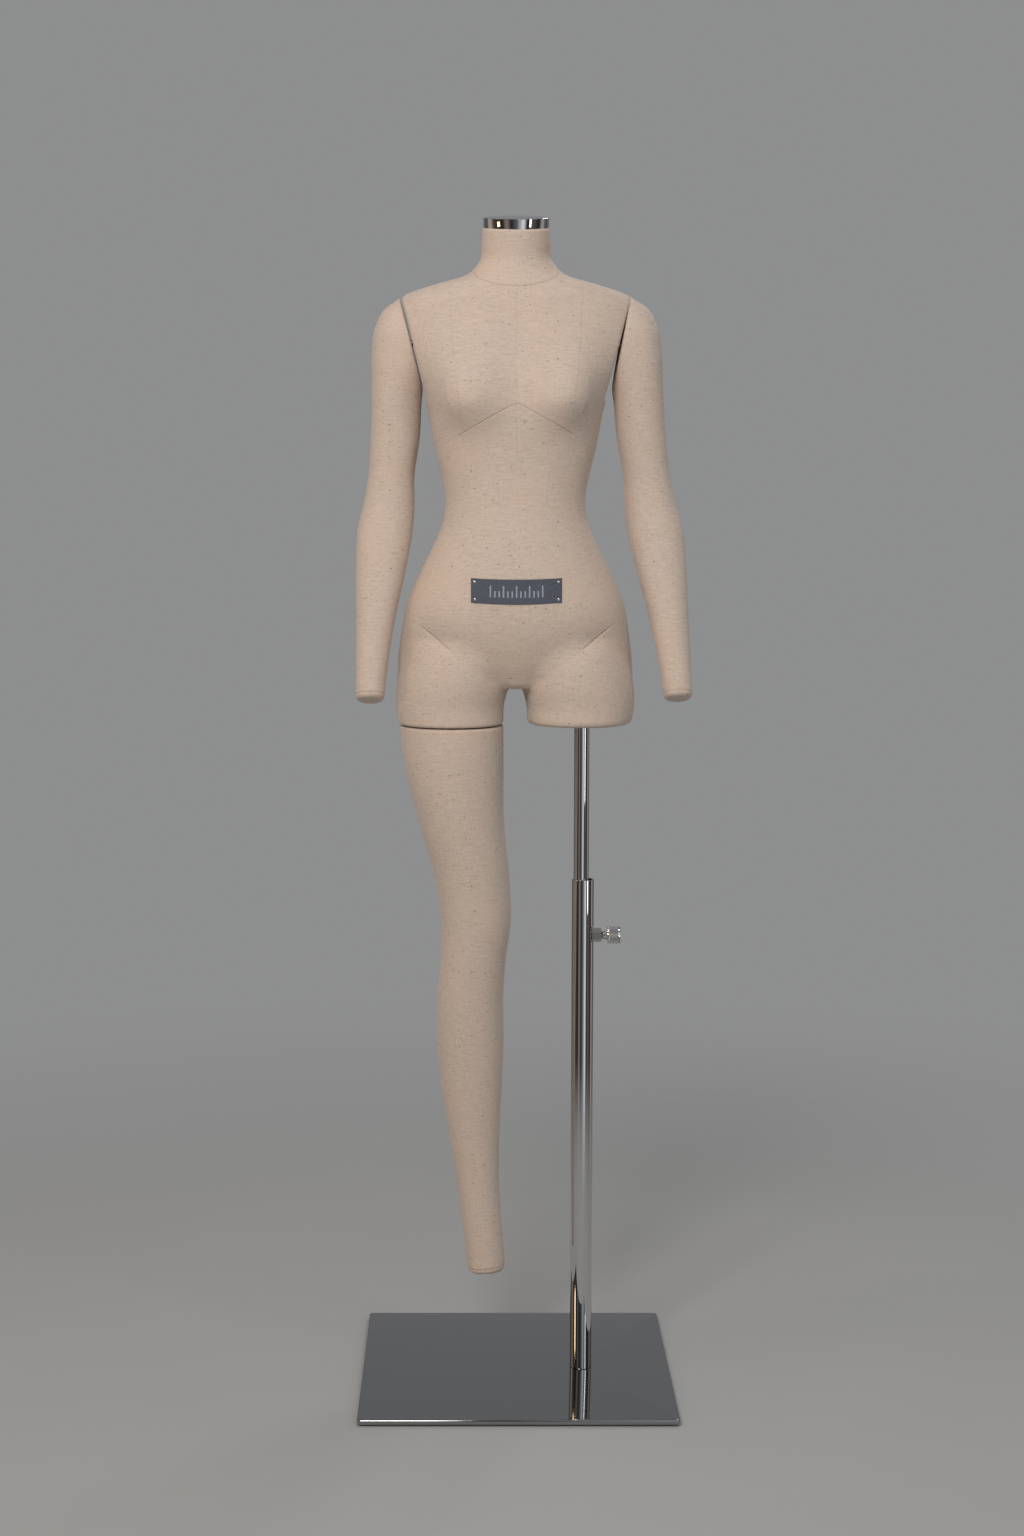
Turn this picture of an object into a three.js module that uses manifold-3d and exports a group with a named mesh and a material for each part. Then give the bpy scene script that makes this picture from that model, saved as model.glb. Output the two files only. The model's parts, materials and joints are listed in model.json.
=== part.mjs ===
// Dress form mannequin: a linen-covered torso with detachable arms and one leg, carried by a
// rod in its left thigh. The rod slides in an upright tube on a square steel base and is held
// by a clamp screw. Millimetres, +Z up, origin on the floor under the middle of the base.
// The form faces -Y, so its right side is at -X.

import * as THREE from 'three';
import { mergeVertices } from 'three/addons/utils/BufferGeometryUtils.js';
import Module from 'manifold-3d';

const wasm = await Module();
wasm.setup();

// ---------------------------------------------------------------- driving dimensions

const GAP = 0.3;                      // clearance between pieces that rest on each other

// stand
const BASE_SIDE = 450;
const BASE_THICKNESS = 8;
const BASE_CORNER = 6;
const FOOT_RADIUS = 12;
const FOOT_HEIGHT = 2;
const FOOT_INSET = 28;
const FOOT_PLAY = 0.05;               // between a foot pad and the plate it is glued to
const PLATE_TOP = FOOT_HEIGHT + BASE_THICKNESS;
const POLE_X = 94.9;
const POLE_Y = -11.6;
const TUBE_RADIUS = 15.9;
const TUBE_WALL = 2;
const TUBE_TOP = 735;
const INSERT_HEIGHT = 30;
const BOLT_RADIUS = 5;
const BOLT_HEAD_RADIUS = 9;
const BOLT_HEAD_LOW = FOOT_HEIGHT + 0.8;
const BOLT_HEAD_TOP = FOOT_HEIGHT + 5;
const BOLT_TOP = PLATE_TOP + INSERT_HEIGHT - 6;

// clamp, on the +X side of the tube
const CLAMP_Z = 653.3;
const CLAMP_THREAD_RADIUS = 4.9;
const CLAMP_NUT_FLATS = 20.5;
const CLAMP_NUT_START = 8;             // inside the tube's wall, which it is cut to fit
const CLAMP_NUT_END = 122 - POLE_X;
const CLAMP_KNOB_START = 124.2 - POLE_X;
const CLAMP_COLLAR_RADIUS = 6.3;
const CLAMP_HEAD_START = 130.3 - POLE_X;
const CLAMP_HEAD_END = 149.1 - POLE_X;
const CLAMP_SCREW_END = CLAMP_HEAD_START + 6;
const CLAMP_HEAD_RADIUS = 12;
const KNURL_DEPTH = 0.5;
const KNURLS = 20;

// rod, pushed against the far wall of the tube by the clamp screw
const ROD_RADIUS = 11;
const ROD_WALL = 1.5;
const ROD_BOTTOM = 300;
const ROD_TOP = 1100;
const PLUG_RIM = 2;
const PLUG_LENGTH = 14;
const ROD_X = POLE_X - (TUBE_RADIUS - TUBE_WALL - ROD_RADIUS - GAP);

// body
const BODY_X = -3;
const COVER = 3;                      // linen and its thin padding
const SHELL = 6;                      // glass-fibre shell of the torso
const LIMB_SHELL = 4;                 // thinner shell of the arms and leg
const LIMB_SHELL_DEPTH = COVER + 3 * GAP;
const BODY_SIDES = 20;
const LIMB_SIDES = 12;
const HOLLOW_SIDES = 10;
const SQUARENESS = 2.2;               // 2 is an ellipse, more is squarer
const STUB_BOTTOM = 960;
const LEG_TOP = 958;
const LEG_BOTTOM = 151;
const NECK_TILT = THREE.MathUtils.degToRad(9);
const CAP_TOP = 1668.2;
const CAP_Y = -19;
const CAP_HEIGHT = 14;
const CAP_RADIUS = 46;
const CAP_WALL = 1.5;
const CAP_SCREW_RADIUS = 4;
const CAP_SCREW_DEPTH = 125;            // of its bore, below the cap's top
const CAP_SCREW_SPARE = 15;            // bore left free under the screw
const CAP_EDGE = 1.2;

// shoulder joint, given for the form's right side
const SHOULDER = new THREE.Vector3(-147.9, 3, 1497);
const SHOULDER_TILT = THREE.MathUtils.degToRad(14.5);
const ARMPIT_Z = 1416;
const ARM_GAP = 2;
const LEFT_ARM_LEAN = THREE.MathUtils.degToRad(2.4);   // the left arm hangs a little further out
const LEAN_PIVOT = [157, 1555];                        // x and z of the top of the left shoulder face

// peg and plate fittings
const FITTING_RADIUS = 28;
const FITTING_THICKNESS = COVER - GAP;
const PEG_RADIUS = 4;
const PEG_HEAD_RADIUS = 7;
const PEG_HEAD = 4;
const PEG_REACH = 6.5;                // from the torso's plate face to the peg's head
const KEYHOLE_DROP = 13;
const VENT_DEPTH = 50;                // of the hole in a limb's shell behind its plate

// label
const LABEL_WIDTH = 126;
const LABEL_HEIGHT = 34;
const LABEL_THICKNESS = 1.2;
const LABEL_Z = 1151;

// Trunk without bust: height, half width, front, back.
const TRUNK = [
  [1012, 165, -62, 110], [1050, 167, -84, 119], [1090, 162, -99, 119], [1130, 154.5, -104, 111],
  [1170, 138, -101, 101], [1210, 118, -95, 91], [1249, 102, -89, 82], [1277, 99, -87, 79],
  [1310, 104, -87, 81], [1345, 112.5, -90, 87], [1375, 118.5, -93, 94], [1400, 123, -94, 99],
  [1430, 134, -93, 102], [1465, 154, -87, 103], [1500, 171, -80, 101], [1530, 177, -74, 96],
  [1552, 170, -70, 88], [1566, 150, -66, 80], [1577, 115, -63, 73], [1588, 76, -60, 66],
  [1605, 54.3, -58, 55], [1635, 48, -62, 37], [1672, 46.8, -69, 25],
];
const SHOULDER_TOP = 1577;            // the hollow of the torso ends below the shoulders

const BUST = { x: 78, z: 1417, push: 32, across: 37, above: 45, below: 28 };

// Limbs: height, centre x, half width, centre y, half depth, forward tilt of the section.
// The right thigh stub, whose mirror image is the left one.
const STUB = [
  [940, -94.5, 73.5, -7, 84, 0], [960, -94.5, 74.5, -7, 85, 0], [985, -96, 76.8, -4, 88, 0],
  [1012, -92, 80, 0, 95, 0], [1050, -84, 80, 5, 98, 0], [1085, -78, 74, 9, 92, 0],
];
const LEG = [
  [980, -94.5, 74.5, -7, 85, 0], [905, -90.7, 71.2, -9, 80.5, 0], [820, -80, 61.2, -9.5, 72, 0],
  [735, -64.5, 53.6, -8, 62, 0], [675, -58.9, 50.4, -7, 57, 0], [617, -62.7, 47.1, -3, 55, 0],
  [560, -67, 47.9, 4, 56, 0], [500, -67, 48.7, 10, 55.5, 0], [440, -65.6, 45.2, 12, 52, 0],
  [365, -61.7, 37.8, 10, 43.5, 0], [280, -55.5, 30.6, 5, 34.5, 0], [200, -47.6, 28.3, -1, 31, 0],
  [135, -41, 27, -5, 29, 0],
];
const ARM = [
  [1559, -146, 20, 3, 18, 0], [1546, -151, 34, 3, 33, 0], [1520, -157.5, 43, 3, 44, 0],
  [1480, -163, 43, 4, 46, 0], [1440, -169, 37, 5, 43, 0], [1361, -173.7, 34.7, 9, 38, 0],
  [1305, -179.6, 33, 11, 36, 0.03], [1272, -182.6, 36.3, 10, 36.5, 0.1], [1235, -188, 39.3, 5, 37, 0.2],
  [1185, -193.3, 36, -7, 35.3, 0.28], [1110, -201, 27.7, -28.5, 30.5, 0.31],
  [1035, -206.5, 21.8, -52, 26, 0.32], [1003, -208, 19.8, -62, 24, 0.32], [996, -208, 15.5, -64.5, 19, 0.32],
];
const [THIGH_X, THIGH_Y] = [STUB[0][1], STUB[0][3]];

// ---------------------------------------------------------------- materials

function material(color, roughness, metalness) {
  return new THREE.MeshStandardMaterial({ color, roughness, metalness });
}
const LINEN = material(0xcfb89f, 0.9, 0);
const GLASS_FIBRE = material(0xd9d2bf, 0.6, 0);
const WOOD = material(0xb08a5a, 0.7, 0);
const CHROME = material(0xd8dadb, 0.08, 1);
const MIRROR_STEEL = material(0x8e9094, 0.05, 1);
const ZINC = material(0xa7a9a8, 0.4, 1);
const RUBBER = material(0x1b1b1c, 0.9, 0);
const BLACK_PLASTIC = material(0x222224, 0.6, 0);
const LABEL_CLOTH = material(0x3d434e, 0.85, 0);
const NICKEL = material(0xc9c3b4, 0.2, 1);

// ---------------------------------------------------------------- solids

// Volume of a closed mesh, negative when its faces point inwards.
function signedVolume(positions, index) {
  const [a, b, c] = [new THREE.Vector3(), new THREE.Vector3(), new THREE.Vector3()];
  let sum = 0;
  for (let i = 0; i < index.length; i += 3) {
    a.fromArray(positions, 3 * index[i]);
    b.fromArray(positions, 3 * index[i + 1]);
    c.fromArray(positions, 3 * index[i + 2]);
    sum += a.dot(b.cross(c)) / 6;
  }
  return sum;
}

// A closed geometry as a solid that can be cut and joined. A mirrored one has its faces turned
// out again.
function solid(geometry) {
  const bare = geometry.clone();
  bare.deleteAttribute('normal');
  bare.deleteAttribute('uv');
  const merged = mergeVertices(bare, 1e-4);
  const positions = Float32Array.from(merged.attributes.position.array);
  const corners = merged.index.array;
  const triangles = [];
  for (let i = 0; i < corners.length; i += 3) {
    const [a, b, c] = corners.slice(i, i + 3);
    if (a !== b && b !== c && c !== a) triangles.push(a, b, c);
  }
  if (signedVolume(positions, triangles) < 0) triangles.reverse();
  return new wasm.Manifold(new wasm.Mesh({
    numProp: 3, vertProperties: positions, triVerts: Uint32Array.from(triangles),
  }));
}

// A solid as a geometry.
function geometryOf(body) {
  const mesh = body.getMesh();
  const geometry = new THREE.BufferGeometry();
  geometry.setAttribute('position', new THREE.BufferAttribute(mesh.vertProperties, 3));
  geometry.setIndex(new THREE.BufferAttribute(mesh.triVerts, 1));
  geometry.computeVertexNormals();
  return geometry;
}

const cut = (body, ...tools) => tools.reduce((rest, tool) => rest.subtract(tool), body);
const join = (...bodies) => bodies.reduce((whole, body) => whole.add(body));

// Round piece about the Z axis from radius and height pairs that close on the axis.
function turned(profile, sides = 20) {
  const lathe = new THREE.LatheGeometry(profile.map(([r, z]) => new THREE.Vector2(r, z)), sides);
  return lathe.rotateX(Math.PI / 2);
}

function rod(radius, low, high, sides = 20) {
  return turned([[0, low], [radius, low], [radius, high], [0, high]], sides);
}

function pipe(outer, inner, low, high, sides = 20) {
  return turned([[inner, low], [outer, low], [outer, high], [inner, high], [inner, low]], sides);
}

function prism(shape, low, high, curveSegments = 6) {
  const depth = high - low;
  return new THREE.ExtrudeGeometry(shape, { depth, bevelEnabled: false, curveSegments }).translate(0, 0, low);
}

const at = (geometry, x, y, z) => geometry.translate(x, y, z);

// ---------------------------------------------------------------- body sections

// Point of a rounded section at an angle, as fractions of its half width and half depth.
function sectionPoint(angle) {
  const round = (value) => Math.sign(value) * Math.abs(value) ** (2 / SQUARENESS);
  return [round(Math.cos(angle)), round(Math.sin(angle))];
}

// How far the bust stands out of the trunk in front of a point.
function bustPush(x, z) {
  const across = (centre) => Math.exp(-(((x - BODY_X - centre) / BUST.across) ** 2) / 2);
  const up = (z - BUST.z) / (z > BUST.z ? BUST.above : BUST.below);
  return BUST.push * (across(-BUST.x) + across(BUST.x)) * Math.exp(-(up ** 2) / 2);
}

function trunkPoint([z, halfWidth, front, back], angle) {
  const [u, v] = sectionPoint(angle);
  const x = BODY_X + halfWidth * u;
  const middle = (front + back) / 2;
  const y = middle + ((back - front) / 2) * v;
  return new THREE.Vector3(x, v < 0 ? y + bustPush(x, z) * v : y, z);
}

function limbPoint([z, x, halfWidth, y, halfDepth, tilt], angle) {
  const [u, v] = sectionPoint(angle);
  const forward = halfDepth * v;
  return new THREE.Vector3(x + halfWidth * u, y + forward * Math.cos(tilt), z - forward * Math.sin(tilt));
}

// Closed skin through a stack of sections: a capped cylinder whose rings are moved to them.
function loft(sections, pointOf, sides) {
  const skin = new THREE.CylinderGeometry(1, 1, 1, sides, sections.length - 1);
  const place = skin.attributes.position;
  for (let i = 0; i < place.count; i += 1) {
    const section = sections[Math.round((0.5 - place.getY(i)) * (sections.length - 1))];
    const radius = Math.hypot(place.getX(i), place.getZ(i));
    const angle = Math.atan2(place.getZ(i), place.getX(i));
    const rim = pointOf(section, angle);
    if (radius < 0.5) rim.copy(pointOf(section, 0)).add(pointOf(section, Math.PI)).divideScalar(2);
    place.setXYZ(i, rim.x, rim.y, rim.z);
  }
  return skin;
}

// The same skin moved in by a depth, along its vertex normals.
function inset(geometry, depth) {
  const bare = geometry.clone();
  bare.deleteAttribute('normal');
  bare.deleteAttribute('uv');
  const skin = mergeVertices(bare, 1e-4);
  const outward = Math.sign(signedVolume(skin.attributes.position.array, skin.index.array));
  skin.computeVertexNormals();
  const { position, normal } = skin.attributes;
  for (let i = 0; i < position.count; i += 1) {
    const step = -depth * outward;
    position.setXYZ(i, position.getX(i) + step * normal.getX(i), position.getY(i) + step * normal.getY(i),
      position.getZ(i) + step * normal.getZ(i));
  }
  return skin;
}

// ---------------------------------------------------------------- cutting frames

// Moves a geometry from the shoulder's own frame, +Z outwards, to the form's right shoulder.
function onShoulder(geometry) {
  return geometry.rotateY(-Math.PI / 2 - SHOULDER_TILT).translate(SHOULDER.x, SHOULDER.y, SHOULDER.z);
}

// The same piece on the form's other side.
function mirrored(geometry) {
  return geometry.clone().translate(-BODY_X, 0, 0).scale(-1, 1, 1).translate(BODY_X, 0, 0);
}

const REACH = 500;

// Everything outside the shoulder face, down to the armpit.
function outsideShoulder(depth) {
  const armpit = (SHOULDER.z - ARMPIT_Z) / Math.cos(SHOULDER_TILT);
  const block = new THREE.BoxGeometry(REACH, REACH, REACH);
  return onShoulder(at(block, REACH / 2 - armpit - depth, 0, REACH / 2 - depth));
}

// Everything on the torso's side of the arm's shoulder face.
function insideShoulder(depth) {
  return onShoulder(at(new THREE.BoxGeometry(REACH, REACH, REACH), 0, 0, ARM_GAP + depth - REACH / 2));
}

// Everything above a height, or below it.
const above = (height) => at(new THREE.BoxGeometry(REACH, REACH, REACH), 0, 0, height + REACH / 2);
const below = (height) => at(new THREE.BoxGeometry(REACH, REACH, REACH), 0, 0, height - REACH / 2);

function aboveNeck(depth) {
  const block = at(new THREE.BoxGeometry(REACH, REACH, REACH), 0, 0, REACH / 2);
  return onNeck(block, -CAP_HEIGHT - GAP - depth);
}

// Neck frame: +Z along the leaning neck, origin in the middle of the cap's top.
function onNeck(geometry, height = 0) {
  return at(geometry, 0, 0, height).rotateX(NECK_TILT).translate(BODY_X, CAP_Y, CAP_TOP);
}

// ---------------------------------------------------------------- fittings

// A disc with a round hole that widens into a larger one below it.
function keyhole(radius, drop) {
  const shape = new THREE.Shape();
  shape.absarc(0, 0, radius, 0, 2 * Math.PI, false);
  const hole = new THREE.Path();
  const neck = PEG_RADIUS + GAP;
  const head = PEG_HEAD_RADIUS + 2 * GAP;
  const meet = Math.asin(neck / head);
  hole.absarc(0, 0, neck, 0, Math.PI, false);
  hole.absarc(0, -drop, head, Math.PI / 2 + meet, Math.PI / 2 - meet + 2 * Math.PI, false);
  shape.holes.push(hole);
  return shape;
}

// Torso half of a fitting: a steel plate set flush in the cover, its face at z = 0.
const torsoPlate = () => prism(keyhole(FITTING_RADIUS, KEYHOLE_DROP), -FITTING_THICKNESS, 0, 10);

// Limb half: a plate flush in the limb's cover with a headed peg that reaches through the other.
function limbPlate() {
  const low = ARM_GAP;
  const high = ARM_GAP + FITTING_THICKNESS;
  const end = -PEG_REACH - PEG_HEAD;
  return turned([[0, end], [PEG_HEAD_RADIUS, end], [PEG_HEAD_RADIUS, -PEG_REACH], [PEG_RADIUS, -PEG_REACH],
    [PEG_RADIUS, low], [FITTING_RADIUS, low], [FITTING_RADIUS, high], [0, high]]);
}

// Pocket for a fitting plate in a cover, and the clearance behind it for the peg's head.
const platePocket = (low, high) => rod(FITTING_RADIUS + GAP, low, high);
const pegPocket = (low, high) => prism(slot(PEG_HEAD_RADIUS + 1, KEYHOLE_DROP), low, high);

function slot(radius, drop) {
  const shape = new THREE.Shape();
  shape.absarc(0, 0, radius, 0, Math.PI, false);
  shape.absarc(0, -drop, radius, Math.PI, 2 * Math.PI, false);
  return shape;
}

// The left arm's place: the right arm's mirror image, leaned out from the top of the shoulder.
function leaning(geometry) {
  const [x, z] = LEAN_PIVOT;
  return mirrored(geometry).translate(-x, 0, -z).rotateY(-LEFT_ARM_LEAN).translate(x, 0, z);
}

// Where the three fittings sit on the torso: each moves a geometry from the fitting's own frame,
// its plate's face at z = 0 and +Z out of the torso. At a shoulder the keyhole points to the floor.
const towardsFloor = (geometry) => geometry.rotateZ(Math.PI / 2);
const FITTINGS = {
  right_shoulder: (geometry) => onShoulder(towardsFloor(geometry)),
  left_shoulder: (geometry) => mirrored(onShoulder(towardsFloor(geometry))),
  right_thigh: (geometry) => at(geometry.rotateX(Math.PI), THIGH_X, THIGH_Y, STUB_BOTTOM),
};
const atFittings = (make) => Object.values(FITTINGS).map((placed) => solid(placed(make())));

// Countersunk wood screw with its head's face at z = 0 and its point below.
const WOOD_SCREW = { head: 3.6, shank: 1.8, countersink: 1.8, length: 12 };
const woodScrew = () => turned([[0, -WOOD_SCREW.length], [WOOD_SCREW.shank, -WOOD_SCREW.length + 3],
  [WOOD_SCREW.shank, -WOOD_SCREW.countersink], [WOOD_SCREW.head, -0.1], [0, -0.1]], 8);

// The hole for it, a little larger all round.
function screwHole() {
  const [shank, head] = [WOOD_SCREW.shank + GAP, WOOD_SCREW.head + GAP];
  const end = -WOOD_SCREW.length - 1;
  const neck = -WOOD_SCREW.countersink - GAP;
  return turned([[0, end], [shank, end], [shank, neck], [head, 0], [head, 1], [0, 1]], 8);
}
const PLATE_SCREW_AT = [[-20, 0], [20, 0]];
function plateScrewHoles() {
  return PLATE_SCREW_AT.flatMap(([x, y]) => atFittings(() => at(screwHole(), x, y, 0)));
}

// ---------------------------------------------------------------- assembly

const mannequin = new THREE.Group();
mannequin.name = 'dress_form_mannequin';

function addSolid(name, body, look) {
  const mesh = new THREE.Mesh(geometryOf(body), look);
  mesh.name = name;
  mannequin.add(mesh);
}

const add = (name, geometry, look, place = [0, 0, 0]) => addSolid(name, solid(at(geometry, ...place)), look);

function stand() {
  const half = BASE_SIDE / 2;
  const outline = new THREE.Shape();
  outline.absarc(half - BASE_CORNER, half - BASE_CORNER, BASE_CORNER, 0, Math.PI / 2, false);
  outline.absarc(BASE_CORNER - half, half - BASE_CORNER, BASE_CORNER, Math.PI / 2, Math.PI, false);
  outline.absarc(BASE_CORNER - half, BASE_CORNER - half, BASE_CORNER, Math.PI, 1.5 * Math.PI, false);
  outline.absarc(half - BASE_CORNER, BASE_CORNER - half, BASE_CORNER, 1.5 * Math.PI, 2 * Math.PI, false);
  const [boreHead, bore] = [BOLT_HEAD_RADIUS + GAP, BOLT_RADIUS + GAP];
  const boltBore = turned([[0, 0], [boreHead, 0], [boreHead, BOLT_HEAD_LOW], [bore, BOLT_HEAD_TOP],
    [bore, PLATE_TOP + 1], [0, PLATE_TOP + 1]]);
  const plate = cut(solid(prism(outline, FOOT_HEIGHT, PLATE_TOP, 4)), solid(at(boltBore, POLE_X, POLE_Y, 0)));
  addSolid('base_plate', plate, MIRROR_STEEL);

  const corner = half - FOOT_INSET;
  const corners = [[-corner, -corner], [corner, -corner], [corner, corner], [-corner, corner]];
  corners.forEach(([x, y], i) => {
    add(`foot_pad_${i + 1}`, rod(FOOT_RADIUS, 0, FOOT_HEIGHT - FOOT_PLAY, 16), RUBBER, [x, y, 0]);
  });

  const bolt = turned([[0, BOLT_HEAD_LOW], [BOLT_HEAD_RADIUS, BOLT_HEAD_LOW], [BOLT_RADIUS, BOLT_HEAD_TOP],
    [BOLT_RADIUS, BOLT_TOP], [0, BOLT_TOP]], 16);
  add('base_bolt', bolt, ZINC, [POLE_X, POLE_Y, 0]);
  const insertLow = PLATE_TOP + GAP;
  const insert = pipe(TUBE_RADIUS - TUBE_WALL - GAP, bore, insertLow, insertLow + INSERT_HEIGHT);
  add('tube_foot_insert', insert, ZINC, [POLE_X, POLE_Y, 0]);

  const across = (radius, low, high, sides) => at(rod(radius, low, high, sides).rotateY(Math.PI / 2),
    POLE_X, POLE_Y, CLAMP_Z);
  const tubeSkin = at(pipe(TUBE_RADIUS, TUBE_RADIUS - TUBE_WALL, insertLow, TUBE_TOP, 28), POLE_X, POLE_Y, 0);
  const screwBore = solid(across(CLAMP_THREAD_RADIUS + GAP, 0, CLAMP_HEAD_END, 16));
  addSolid('outer_tube', cut(solid(tubeSkin), screwBore), CHROME);
  const nut = solid(across(CLAMP_NUT_FLATS / Math.sqrt(3), CLAMP_NUT_START, CLAMP_NUT_END, 6));
  const tubeBody = solid(at(rod(TUBE_RADIUS + GAP, 0, TUBE_TOP + 1, 28), POLE_X, POLE_Y, 0));
  addSolid('clamp_weld_nut', cut(nut, tubeBody, screwBore), ZINC);
}

function clamp() {
  const tip = ROD_X + ROD_RADIUS + GAP - POLE_X;
  const screw = rod(CLAMP_THREAD_RADIUS, tip, CLAMP_SCREW_END, 16).rotateY(Math.PI / 2);
  add('clamp_screw', screw, ZINC, [POLE_X, POLE_Y, CLAMP_Z]);

  const outline = new THREE.Shape();
  for (let i = 0; i < 2 * KNURLS; i += 1) {
    const radius = CLAMP_HEAD_RADIUS - (i % 2) * KNURL_DEPTH;
    const angle = (i * Math.PI) / KNURLS;
    const step = i === 0 ? 'moveTo' : 'lineTo';
    outline[step](radius * Math.cos(angle), radius * Math.sin(angle));
  }
  const head = join(solid(prism(outline, CLAMP_HEAD_START, CLAMP_HEAD_END)),
    solid(rod(CLAMP_COLLAR_RADIUS, CLAMP_KNOB_START, CLAMP_HEAD_START + 1, 16)));
  const bore = solid(rod(CLAMP_THREAD_RADIUS + GAP, 0, CLAMP_SCREW_END + GAP, 16));
  const knob = geometryOf(cut(head, bore)).rotateY(Math.PI / 2);
  add('clamp_knob', knob, CHROME, [POLE_X, POLE_Y, CLAMP_Z]);
}

function heightRod() {
  add('inner_rod', pipe(ROD_RADIUS, ROD_RADIUS - ROD_WALL, ROD_BOTTOM, ROD_TOP), CHROME, [ROD_X, POLE_Y, 0]);
  const bore = ROD_RADIUS - ROD_WALL - GAP;
  const plug = (end, into) => turned([[0, end], [ROD_RADIUS, end], [ROD_RADIUS, end + PLUG_RIM * into],
    [bore, end + PLUG_RIM * into], [bore, end + PLUG_LENGTH * into], [0, end + PLUG_LENGTH * into]]);
  add('rod_bottom_plug', plug(ROD_BOTTOM - PLUG_RIM - GAP, 1), BLACK_PLASTIC, [ROD_X, POLE_Y, 0]);
  add('rod_top_plug', plug(ROD_TOP + PLUG_RIM + GAP, -1), BLACK_PLASTIC, [ROD_X, POLE_Y, 0]);
}

// The torso's skin at a depth below the outside of the linen.
function torsoBody(depth) {
  const stub = inset(loft(STUB, limbPoint, LIMB_SIDES), depth);
  const faces = [outsideShoulder(depth), mirrored(outsideShoulder(depth)), aboveNeck(depth),
    below(STUB_BOTTOM + depth)];
  const trunk = inset(loft(TRUNK, trunkPoint, BODY_SIDES), depth);
  return cut(join(solid(trunk), solid(stub), solid(mirrored(stub))), ...faces.map(solid));
}

// The hollow inside the shell, plainer than its outside.
function torsoHollow() {
  const depth = COVER + GAP + SHELL;
  const rows = TRUNK.filter(([z], i) => z <= SHOULDER_TOP && i % 2 === 0);
  const stub = inset(loft(STUB, limbPoint, HOLLOW_SIDES), depth);
  const trunk = inset(loft(rows, trunkPoint, HOLLOW_SIDES), depth);
  const faces = [outsideShoulder(depth), mirrored(outsideShoulder(depth)), below(STUB_BOTTOM + depth)];
  return cut(join(solid(trunk), solid(stub), solid(mirrored(stub))), ...faces.map(solid));
}

const BOARD_LOW = STUB_BOTTOM + COVER + SHELL + 2 * GAP;
const BOARD_THICKNESS = 15;
const BOARD_HALF = [56, 64];
const SOCKET_WALL = 2;
const SOCKET_BORE = ROD_RADIUS + GAP;
const SOCKET_TOP = ROD_TOP + 10;
const SOCKET_LID = 3;
const FLANGE = { radius: 30, thickness: 3, screwCircle: 22 };

// Room for the rod and its socket, from the floor up through the cover, shell and board.
function poleRoom() {
  return solid(at(rod(SOCKET_BORE + SOCKET_WALL + 2 * GAP, 0, 1040), ROD_X, POLE_Y, 0));
}

function boardOutline() {
  const outline = new THREE.Shape();
  outline.absellipse(0, 0, BOARD_HALF[0], BOARD_HALF[1], 0, 2 * Math.PI, false, 0);
  return outline;
}

function frontOfTrunk(x, z) {
  const upper = TRUNK.findIndex((row) => row[0] > z);
  const [under, over] = [TRUNK[upper - 1], TRUNK[upper]];
  const share = (z - under[0]) / (over[0] - under[0]);
  const [halfWidth, front, back] = [1, 2, 3].map((i) => under[i] + share * (over[i] - under[i]));
  const u = Math.abs((x - BODY_X) / halfWidth);
  return (front + back) / 2 - ((back - front) / 2) * (1 - u ** SQUARENESS) ** (1 / SQUARENESS);
}

// A flat box on the XZ plane bent to lie on the front of the trunk.
function labelSheet() {
  const sheet = new THREE.BoxGeometry(LABEL_WIDTH, LABEL_THICKNESS, LABEL_HEIGHT, 10, 1, 2);
  const place = sheet.attributes.position;
  for (let i = 0; i < place.count; i += 1) {
    const x = BODY_X + place.getX(i);
    const z = LABEL_Z + place.getZ(i);
    place.setXYZ(i, x, frontOfTrunk(x, z) - GAP - LABEL_THICKNESS / 2 + place.getY(i), z);
  }
  return sheet;
}

const PIN = { radius: 0.7, head: 2.3, length: 8, inset: 5 };

function labelPins() {
  const spots = [];
  for (const side of [-1, 1]) {
    for (const end of [-1, 1]) {
      const x = BODY_X + side * (LABEL_WIDTH / 2 - PIN.inset);
      const z = LABEL_Z + end * (LABEL_HEIGHT / 2 - PIN.inset);
      spots.push([x, frontOfTrunk(x, z) - LABEL_THICKNESS - 2 * GAP, z]);
    }
  }
  const facingFront = (geometry, spot) => at(geometry.rotateX(Math.PI / 2), ...spot);
  const domed = () => turned([[0, -PIN.length], [PIN.radius, -PIN.length], [PIN.radius, 0.3], [PIN.head, 0.3],
    [PIN.head * 0.8, 1], [PIN.head * 0.4, 1.5], [0, 1.6]], 8);
  return {
    pins: spots.map((spot) => facingFront(domed(), spot)),
    bores: spots.map((spot) => facingFront(rod(PIN.radius + GAP, -PIN.length - 2, 3, 6), spot)),
  };
}

function torso() {
  const { pins, bores } = labelPins();
  const pinBores = bores.map(solid);
  const capScrewBore = solid(onNeck(rod(CAP_SCREW_RADIUS + GAP, -CAP_SCREW_DEPTH, 5, 12)));

  const platePockets = atFittings(() => platePocket(-COVER - 1, 5));
  const cover = cut(torsoBody(0), torsoBody(COVER), poleRoom(), capScrewBore, ...platePockets, ...pinBores);
  addSolid('torso_cover', cover, LINEN);

  const pegRooms = atFittings(() => pegPocket(-50, 0));
  const bored = [poleRoom(), capScrewBore, ...pegRooms, ...plateScrewHoles(), ...pinBores];
  const shell = cut(torsoBody(COVER + GAP), torsoHollow(), ...bored);
  addSolid('torso_shell', shell, GLASS_FIBRE);

  add('label_patch', geometryOf(cut(solid(labelSheet()), ...pinBores)), LABEL_CLOTH);
  pins.forEach((pin, i) => add(`label_pin_${i + 1}`, pin, NICKEL));
}

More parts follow.
